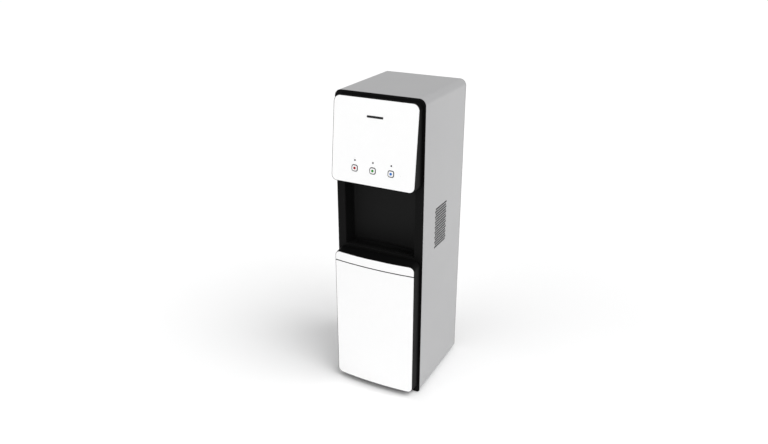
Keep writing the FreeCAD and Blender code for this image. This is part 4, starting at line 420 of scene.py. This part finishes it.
# the niche lining and the drip basin take the lighter copy of the plastic, a painted light
softened("niche_liner", "niche_moulding", 0.8, niche_abs_painted_light, "cabinet", "black_abs")
softened("drip_tray", "drip_basin", 0.6, niche_abs_painted_light, "drip_tray", "black_abs")

grille_low, grille_high = (Vector(c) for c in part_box("drip_grille"))
SLOPE = math.radians(50.0)                 # slant of the well's front wall
SLANT = (grille_high.z - grille_low.z) / math.tan(SLOPE)
slab = [(x, y, z) for z, y0 in ((grille_low.z, grille_low.y + SLANT), (grille_high.z, grille_low.y))
        for x, y in ((grille_low.x, y0), (grille_high.x, y0), (grille_high.x, grille_high.y),
                     (grille_low.x, grille_high.y))]
# the slotted cover also takes the lighter copy of the plastic, a painted light
grille = solid("slotted_cover", slab, [(3, 2, 1, 0), (4, 5, 6, 7), (0, 1, 5, 4), (1, 2, 6, 5),
                                       (2, 3, 7, 6), (3, 0, 4, 7)], niche_abs_painted_light)
SLOTS, SLOT_PITCH, SLOT_WIDTH, SLOT_ROUND = 29, 7.0 * MM, 3.0 * MM, 1.4 * MM
SLOT_BORDER = 7.5 * MM                     # solid rim in front of and behind the slots
grown(grille, punched, columns=SLOTS, rows=1, pitch_along=SLOT_PITCH, pitch_up=MM, stagger=0.0,
      hole_length=SLOT_WIDTH, hole_height=grille_high.y - grille_low.y - 2.0 * SLOT_BORDER,
      corner_radius=SLOT_ROUND, depth=2.0 * PUNCH_PAST,
      centre=(0.0, (grille_low.y + grille_high.y) / 2.0, grille_high.z), turn=(0.0, 0.0, 0.0),
      finish=niche_abs_painted_light, edge_finish=niche_abs_painted_light)
settled(grille)
rounded(grille, 0.3, 2)
fitted(settled(grille), "drip_grille", "black_abs", "drip_grille")


# ---------------------------------------------------------------- control head
# A black ABS wedge carries the tilted white panel. Each key stands in a dark ring and has a
# coloured dot; a smoked lamp sits above each. Behind them is a small circuit board.
# glossy white ABS: polished tool finish with a very slight waviness seen in reflections
white_abs = finish("gloss_white_abs", "#ededed", "#eaeaea", 0.14, 22.0, 0.05, swing=0.02,
                   cloud=200.0, detail=1.0, IOR=1.54, Coat_Weight=0.3, Coat_Roughness=0.06)
softened("panel_housing", "head_wedge", 0.5, black_abs, "cabinet", "black_abs", framed=True)
softened("control_panel", "panel_face", 0.7, white_abs, "cabinet", "white_gloss")

# screen-printed bar under a thin lacquer: near black, with a faint shine
badge_lacquer = finish("dark_lacquered_bar", "#0c0c0e", "#141416", 0.3, 1.0, 0.005, Coat_Weight=0.1,
                       Specular_IOR_Level=0.2)
softened("badge", "maker_bar", 0.2, badge_lacquer, "cabinet", "badge_dark", 2)

# near-black satin ABS of the rings, dull next to the glossy keys
ring_plastic = finish("dark_grey_ring_plastic", "#0a0a0a", "#0f0f10", 0.42, 0.5, 0.01, IOR=1.54,
                      Specular_IOR_Level=0.08)
softened("key_rings", "ring_inserts", 0.25, ring_plastic, "cabinet", "ring_dark", 2)
# tinted polycarbonate, smoother than what is round it, so each lamp reads as a small dark bead
lens = finish("smoked_lens", "#0b0b0c", "#121214", 0.2, 3.0, 0.004, IOR=1.58,
              Specular_IOR_Level=0.15)
softened("indicator_lamps", "lamp_lenses", 0.25, lens, "cabinet", "lamp_lens", 2)

# printed, clear-coated colours: each reads as a small bright gloss dot
for tap, colour, second, slot in (("hot", "#8c0000", "#9a0303", "dot_red"),
                                  ("ambient", "#007a00", "#028602", "dot_green"),
                                  ("cold", "#0a62b4", "#1169bd", "dot_blue")):
    softened("key_" + tap, tap + "_key_cap", 0.45, white_abs, "key_" + tap, "white_gloss")
    inlay = finish(slot + "_gloss_inlay", colour, second, 0.2, 1.5, 0.006, IOR=1.5,
                   Specular_IOR_Level=0.2)
    softened("key_dot_" + tap, tap + "_key_dot", 0.15, inlay, "key_" + tap, slot, 2)

# solder mask on glass-epoxy: green with darker track fields about 4 mm wide
solder_mask = finish("green_solder_mask", "#1d5b3a", "#133f28", 0.34, 4.0, 0.04,
                     kind="ShaderNodeTexVoronoi", Coat_Weight=0.4)
# moulded nylon: dull black with a fine tooth
black_nylon = finish("black_nylon", "#1a1a1c", "#222224", 0.5, 0.6, 0.02, IOR=1.53)
clad(solder_mask, "key_board", "control_board")
clad(black_nylon, "key_switches")


# ---------------------------------------------------------------- door
# A deep black ABS tray with a bowed white face snapped into its front in two pieces, so that a
# dark groove shows between them; a flat inner panel closes its back, with a magnet at the edge.
softened("door_carcass", "door_body", 0.8, black_abs, "door", "black_abs", framed=True)
softened("door_inner_panel", "door_inside_panel", 0.6, black_abs, "door", "black_abs")
softened("door_face", "door_main_face", 0.8, white_abs, "door", "white_gloss", 4)
softened("door_top_strip", "door_upper_face", 0.8, white_abs, "door", "white_gloss", 4)

# nickel-plated magnet cup, pale with fine scratches
nickel = finish("nickel_plated_cup", "#8f9498", "#a2a7aa", 0.3, 0.6, 0.01, stretch=(1, 1, 12),
                Metallic=1.0)
softened("door_magnet", "latch_magnet", 0.5, nickel, "door", "magnet")


# ---------------------------------------------------------------- hinges and strike
# Black zinc-plated steel tabs come out through the bezel and carry turned steel pins that the
# door turns on; a thin steel plate in the bezel meets the magnet.
# black zinc plate on pressed steel: dark, with a weak metallic glint
black_zinc = finish("black_zinc_plate", "#242426", "#303033", 0.36, 1.2, 0.015, Metallic=1.0)
# bright turned steel: tool marks stretched round the pin
turned_steel = finish("turned_steel", "#b9bcbf", "#c7cacc", 0.26, 0.5, 0.01, stretch=(1, 1, 9),
                      Metallic=1.0)
softened("hinge_tabs", "hinge_brackets", 0.4, black_zinc, "cabinet", "hinge_steel")
softened("hinge_pins", "turned_pins", 0.5, turned_steel, "cabinet", "pin_steel")
softened("strike_plate", "latch_strike", 0.2, black_zinc, "cabinet", "hinge_steel", 2)


# ---------------------------------------------------------------- taps and valves
# Short black nylon nozzles under the niche roof, each screwed into a white solenoid valve.
# natural nylon: milky white, softly dull
valve_nylon = finish("white_nylon", "#d9dadb", "#e3e4e4", 0.42, 0.8, 0.02, IOR=1.53)
for tap in ("hot", "ambient", "cold"):
    softened("nozzle_" + tap, tap + "_outlet", 0.5, black_nylon, "cabinet", "switch_black")
clad(valve_nylon, "solenoid_valves")


# ---------------------------------------------------------------- tanks and water lines
# Drawn stainless tanks, the cold one in a block of moulded foam with copper cooling rings, the
# hot one in a felt jacket with an aluminium heater band; milky silicone hose joins them up.
# deep-drawn stainless: bright, with draw lines along its height
stainless = finish("drawn_stainless", "#b5b7b8", "#c6c8c9", 0.27, 1.0, 0.01, stretch=(1, 1, 20),
                   Metallic=1.0)
# moulded bead foam: cream white, its beads about 3.5 mm across and in low relief
bead_foam = finish("bead_foam", "#ecead9", "#f6f5ea", 0.8, 3.5, 0.5, kind="ShaderNodeTexVoronoi")
# needled felt: grey-cream, matt and hairy
felt = finish("insulating_felt", "#c9c7bd", "#dad8cf", 0.92, 0.9, 0.25, detail=6.0,
              Sheen_Weight=0.3)
# rolled aluminium: pale grey with fine lines from the rolls
heater = finish("rolled_aluminium", "#a8a9a6", "#b8b9b7", 0.33, 0.7, 0.01, stretch=(8, 8, 1),
                Metallic=1.0)
# drawn copper: warm, tarnished in patches a few millimetres wide
copper = finish("drawn_copper", "#b06a43", "#8e5536", 0.3, 5.0, 0.01, swing=0.1, Metallic=1.0)
# silicone hose: milky, a little light passes into it
milky_silicone = finish("milky_silicone", "#dfe3e4", "#e8ebec", 0.38, 2.0, 0.01, IOR=1.41,
                        Subsurface_Weight=0.15)
clad(stainless, "cold_tank", "hot_tank")
clad(bead_foam, "cold_foam")
clad(felt, "hot_jacket")
clad(heater, "band_heater")
clad(copper, "evaporator_coil", "refrigerant_lines")
clad(milky_silicone, "water_lines", "probe_hose")


# ---------------------------------------------------------------- compressor, condenser, pump
# A black-enamelled steel compressor on rubber grommets, a flat serpentine of black tube with
# wires welded across both of its sides, and an upright pump in glass-filled nylon.
# baked enamel on steel: deep black under a glossy skin
enamel = finish("black_baked_enamel", "#161718", "#1e1f21", 0.28, 2.0, 0.03, Coat_Weight=0.4)
# glass-filled nylon: dark grey and dry, with short fibres near its surface
pump_nylon = finish("glass_filled_nylon", "#3a3d42", "#454950", 0.55, 0.6, 0.03, IOR=1.53)
clad(enamel, "compressor", "condenser_tube")
clad(pump_nylon, "water_pump")

wire_low, wire_high = (Vector(c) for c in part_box("condenser_wires"))


def wire_tree():
    """Geometry nodes for upright round wires that sit in turn on either side of a tube."""
    tree = bpy.data.node_groups.new("condenser_wires", "GeometryNodeTree")
    face = tree.interface
    face.new_socket("Wires", in_out="OUTPUT", socket_type="NodeSocketGeometry")
    for label, kind in (("Count", "Int"), ("Radius", "Float"), ("Length", "Float"),
                        ("First", "Vector"), ("Step", "Vector"), ("Finish", "Material")):
        face.new_socket(label, in_out="INPUT", socket_type="NodeSocket" + kind)
    given = add(tree, "NodeGroupInput").outputs
    row = add(tree, "GeometryNodeMeshLine", {"Count": given["Count"], "Start Location": given["First"],
                                             "Offset": given["Step"]}, mode="OFFSET")
    wire = add(tree, "GeometryNodeMeshCylinder", {"Vertices": 10, "Radius": given["Radius"],
                                                  "Depth": given["Length"]})
    wires = add(tree, "GeometryNodeInstanceOnPoints", {"Points": row.outputs[0],
                                                       "Instance": wire.outputs["Mesh"]})
    real = add(tree, "GeometryNodeRealizeInstances", {"Geometry": wires.outputs[0]})
    painted = add(tree, "GeometryNodeSetMaterial", {"Geometry": real.outputs[0],
                                                    "Material": given["Finish"]})
    add(tree, "NodeGroupOutput", {0: painted.outputs[0]})
    return tree


WIRE_RADIUS, WIRE_PITCH = 0.8 * MM, 8.0 * MM
count = round((wire_high.x - wire_low.x - 2.0 * WIRE_RADIUS) / WIRE_PITCH) + 1
wires = wire_tree()
for side, start, y in (("front", 0, wire_low.y + WIRE_RADIUS), ("rear", 1, wire_high.y - WIRE_RADIUS)):
    fence = solid(side + "_condenser_wires", [], [], enamel)
    grown(fence, wires, count=(count + 1 - start) // 2, radius=WIRE_RADIUS,
          length=wire_high.z - wire_low.z,
          first=(wire_low.x + WIRE_RADIUS + start * WIRE_PITCH, y, (wire_low.z + wire_high.z) / 2.0),
          step=(2.0 * WIRE_PITCH, 0.0, 0.0), finish=enamel)
    fitted(settled(fence), "cabinet", "machine_black", "condenser_wires")


# ---------------------------------------------------------------- bottle probe
# A pale food-grade tube that stands in the bottle, with a cap for its neck; it parks in a black
# clip on the left wall and hangs from a short silicone hose.
# polished food-grade plastic: pale blue-grey and clean
probe_plastic = finish("pale_food_grade_plastic", "#cfd8de", "#d9e0e4", 0.2, 4.0, 0.01, IOR=1.5,
                       Coat_Weight=0.2)
softened("bottle_probe", "suction_probe", 0.5, probe_plastic, "bottle_probe", "probe_blue")
softened("probe_clip", "parking_clip", 0.5, black_abs, "cabinet", "black_abs")


# ---------------------------------------------------------------- rear
# A dark grained ABS cover held by zinc-plated pan-head screws, with louvres over the condenser.
# Low on it are the mains inlet, two rocker switches and the caps of the tank drains.
# grained ABS: dark grey and matt, its grain about 1.1 mm
rear_abs = finish("grained_dark_grey_abs", "#202123", "#28292b", 0.52, 1.1, 0.06, IOR=1.54,
                  Specular_IOR_Level=0.3)


def turned_outward(piece):
    """Makes the faces of a closed piece point outwards."""
    shape = bmesh.new()
    shape.from_mesh(piece.data)
    bmesh.ops.recalc_face_normals(shape, faces=shape.faces)
    shape.to_mesh(piece.data)
    shape.free()


cover_low, cover_high = (Vector(c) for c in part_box("rear_cover"))
outline = rolled_line(cover_high.x, cover_low.z, cover_high.z, ROLL)
span = len(outline)
cover = solid("louvred_back", [(x, y, z) for y in (cover_low.y, cover_high.y) for x, z in outline],
              [tuple(range(span)), tuple(range(2 * span - 1, span - 1, -1))]
              + [(i, span + i, span + (i + 1) % span, (i + 1) % span) for i in range(span)], rear_abs)
turned_outward(cover)
rounded(cover, 0.5, 2)
LOUVRE_COLUMNS, LOUVRE_ROWS = 3, 27
LOUVRE_STEP, LOUVRE_RISE = 72.0 * MM, 15.0 * MM
LOUVRE_LENGTH, LOUVRE_HEIGHT, LOUVRE_ROUND = 62.0 * MM, 5.0 * MM, 2.3 * MM
LOUVRE_LOW = 6.0 * MM                      # lower ends of the condenser's wires to the lowest slot
FLANGE_LAP = 3.0 * MM                      # how far each fitting's flange covers its opening
louvre_middle = wire_low.z + LOUVRE_LOW + (LOUVRE_HEIGHT + (LOUVRE_ROWS - 1) * LOUVRE_RISE) / 2.0
# each set of openings: columns, rows, their pitches, length, height, corner radius and middle
cuts = [(LOUVRE_COLUMNS, LOUVRE_ROWS, LOUVRE_STEP, LOUVRE_RISE, LOUVRE_LENGTH, LOUVRE_HEIGHT,
         LOUVRE_ROUND, 0.0, louvre_middle)]
for fitting in ("power_inlet", "switch_frame"):
    low, high = (Vector(c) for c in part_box(fitting))
    cuts.append((1, 1, MM, MM, high.x - low.x - 2.0 * FLANGE_LAP, high.z - low.z - 2.0 * FLANGE_LAP, MM,
                 (low.x + high.x) / 2.0, (low.z + high.z) / 2.0))
low, high = (Vector(c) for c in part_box("drain_caps"))
cap_width = high.z - low.z
COVER_PUNCH = 12.0 * MM                    # length of the cutting tools through the cover
SPOUT_BORE = 12.3 * MM
NEARLY_ROUND = 0.49                        # keeps a short flat between the corners of a round hole
cuts.append((2, 1, high.x - low.x - cap_width, MM, SPOUT_BORE, SPOUT_BORE, SPOUT_BORE * NEARLY_ROUND,
             (low.x + high.x) / 2.0, (low.z + high.z) / 2.0))
for columns, rows, along, up, length, height, radius, x, z in cuts:
    grown(cover, punched, columns=columns, rows=rows, pitch_along=along, pitch_up=up, stagger=0.0,
          hole_length=length, hole_height=height, corner_radius=radius, depth=COVER_PUNCH,
          centre=(x, cover_high.y, z), turn=(math.pi / 2.0, 0.0, 0.0), finish=rear_abs,
          edge_finish=rear_abs)
fitted(settled(cover), "cabinet", "rear_dark", "rear_cover")


def hood_tree():
    """Geometry nodes for a grid of small curved hoods, one over the upper edge of each louvre."""
    tree = bpy.data.node_groups.new("louvre_hoods", "GeometryNodeTree")
    face = tree.interface
    face.new_socket("Hoods", in_out="OUTPUT", socket_type="NodeSocketGeometry")
    for label, kind in (("Columns", "Int"), ("Rows", "Int"), ("Pitch along", "Float"), ("Pitch up", "Float"),
                        ("Length", "Float"), ("Reach", "Float"), ("Wall", "Float"), ("Centre", "Vector"),
                        ("Finish", "Material")):
        face.new_socket(label, in_out="INPUT", socket_type="NodeSocket" + kind)
    given = add(tree, "NodeGroupInput").outputs

    gaps_along = add(tree, "ShaderNodeMath", {0: given["Columns"], 1: 1.0}, operation="SUBTRACT")
    gaps_up = add(tree, "ShaderNodeMath", {0: given["Rows"], 1: 1.0}, operation="SUBTRACT")
    across = add(tree, "ShaderNodeMath", {0: gaps_along.outputs[0], 1: given["Pitch along"]},
                 operation="MULTIPLY")
    upward = add(tree, "ShaderNodeMath", {0: gaps_up.outputs[0], 1: given["Pitch up"]},
                 operation="MULTIPLY")
    grid = add(tree, "GeometryNodeMeshGrid", {"Size X": across.outputs[0], "Size Y": upward.outputs[0],
                                              "Vertices X": given["Columns"],
                                              "Vertices Y": given["Rows"]})
    stood = add(tree, "GeometryNodeTransform", {"Geometry": grid.outputs["Mesh"],
                                                "Translation": given["Centre"],
                                                "Rotation": (math.pi / 2.0, 0.0, 0.0)})
    outer = add(tree, "GeometryNodeMeshCylinder", {"Vertices": 32, "Radius": given["Reach"],
                                                   "Depth": given["Length"]})
    inside = add(tree, "ShaderNodeMath", {0: given["Reach"], 1: given["Wall"]}, operation="SUBTRACT")
    shorter = add(tree, "ShaderNodeMath", {0: given["Length"], 1: given["Wall"]}, operation="SUBTRACT")
    hollow = add(tree, "GeometryNodeMeshCylinder", {"Vertices": 32, "Radius": inside.outputs[0],
                                                    "Depth": shorter.outputs[0]})
    thick = add(tree, "ShaderNodeMath", {0: given["Reach"], 1: 3.0}, operation="MULTIPLY")
    tall = add(tree, "ShaderNodeMath", {0: given["Reach"], 1: 2.0}, operation="MULTIPLY")
    longer = add(tree, "ShaderNodeMath", {0: given["Length"], 1: 2.0}, operation="MULTIPLY")
    size = add(tree, "ShaderNodeCombineXYZ", {"X": thick.outputs[0], "Y": tall.outputs[0],
                                              "Z": longer.outputs[0]})
    block = add(tree, "GeometryNodeMeshCube", {"Size": size.outputs[0]})
    drop = add(tree, "ShaderNodeMath", {0: given["Reach"], 1: -1.0}, operation="MULTIPLY")
    lowered = add(tree, "ShaderNodeCombineXYZ", {"Y": drop.outputs[0]})
    below = add(tree, "GeometryNodeTransform", {"Geometry": block.outputs["Mesh"],
                                                "Translation": lowered.outputs[0]})
    hood = add(tree, "GeometryNodeMeshBoolean", {"Mesh 1": outer.outputs["Mesh"],
                                                 "Mesh 2": hollow.outputs["Mesh"]},
               operation="DIFFERENCE", solver="EXACT")
    tree.links.new(below.outputs[0], hood.inputs["Mesh 2"])
    laid = add(tree, "GeometryNodeTransform", {"Geometry": hood.outputs[0],
                                               "Rotation": (math.pi / 2.0, 0.0, math.pi / 2.0)})
    hoods = add(tree, "GeometryNodeInstanceOnPoints", {"Points": stood.outputs[0],
                                                       "Instance": laid.outputs[0]})
    real = add(tree, "GeometryNodeRealizeInstances", {"Geometry": hoods.outputs[0]})
    painted = add(tree, "GeometryNodeSetMaterial", {"Geometry": real.outputs[0],
                                                    "Material": given["Finish"]})
    add(tree, "NodeGroupOutput", {0: painted.outputs[0]})
    return tree


HOOD_REACH, HOOD_WALL = 2.6 * MM, 0.9 * MM
HOOD_PAST = 1.0 * MM                       # how far a hood goes past each end of its slot
HOOD_LIFT = 1.0 * MM                       # middle of the slot up to the lower edge of its hood
hoods = solid("louvre_hoods", [], [], rear_abs)
grown(hoods, hood_tree(), columns=LOUVRE_COLUMNS, rows=LOUVRE_ROWS, pitch_along=LOUVRE_STEP,
      pitch_up=LOUVRE_RISE, length=LOUVRE_LENGTH + 2.0 * HOOD_PAST, reach=HOOD_REACH, wall=HOOD_WALL,
      centre=(0.0, cover_high.y, louvre_middle + HOOD_LIFT), finish=rear_abs)
fitted(settled(hoods), "cabinet", "rear_dark")
# zinc plate on steel: pale, with a faint metallic cloud
zinc = finish("zinc_plated_steel", "#8f9396", "#a9adaf", 0.3, 0.9, 0.01, Metallic=1.0)
softened("rear_screws", "pan_head_screws", 0.3, zinc, "cabinet", "screw_steel", 2)
softened("power_inlet", "mains_inlet", 0.4, black_nylon, "cabinet", "switch_black")
softened("switch_frame", "rocker_housing", 0.4, black_nylon, "cabinet", "switch_black")
for use, colour, second, slot in (("heat", "#a8201c", "#b82a26", "rocker_red"),
                                  ("cool", "#1f8a3b", "#2a9a48", "rocker_green")):
    # polished coloured nylon, clear and bright against the dark housing
    gloss = finish(slot + "_gloss", colour, second, 0.2, 3.0, 0.006, IOR=1.5, Coat_Weight=0.3)
    softened("rocker_" + use, use + "_rocker", 0.3, gloss, "rocker_" + use, slot)
# grey moulded nylon, satin
cap_nylon = finish("grey_nylon", "#8b8e91", "#989b9e", 0.45, 0.8, 0.02, IOR=1.53)
softened("drain_caps", "drain_screw_caps", 0.5, cap_nylon, "cabinet", "cap_grey")
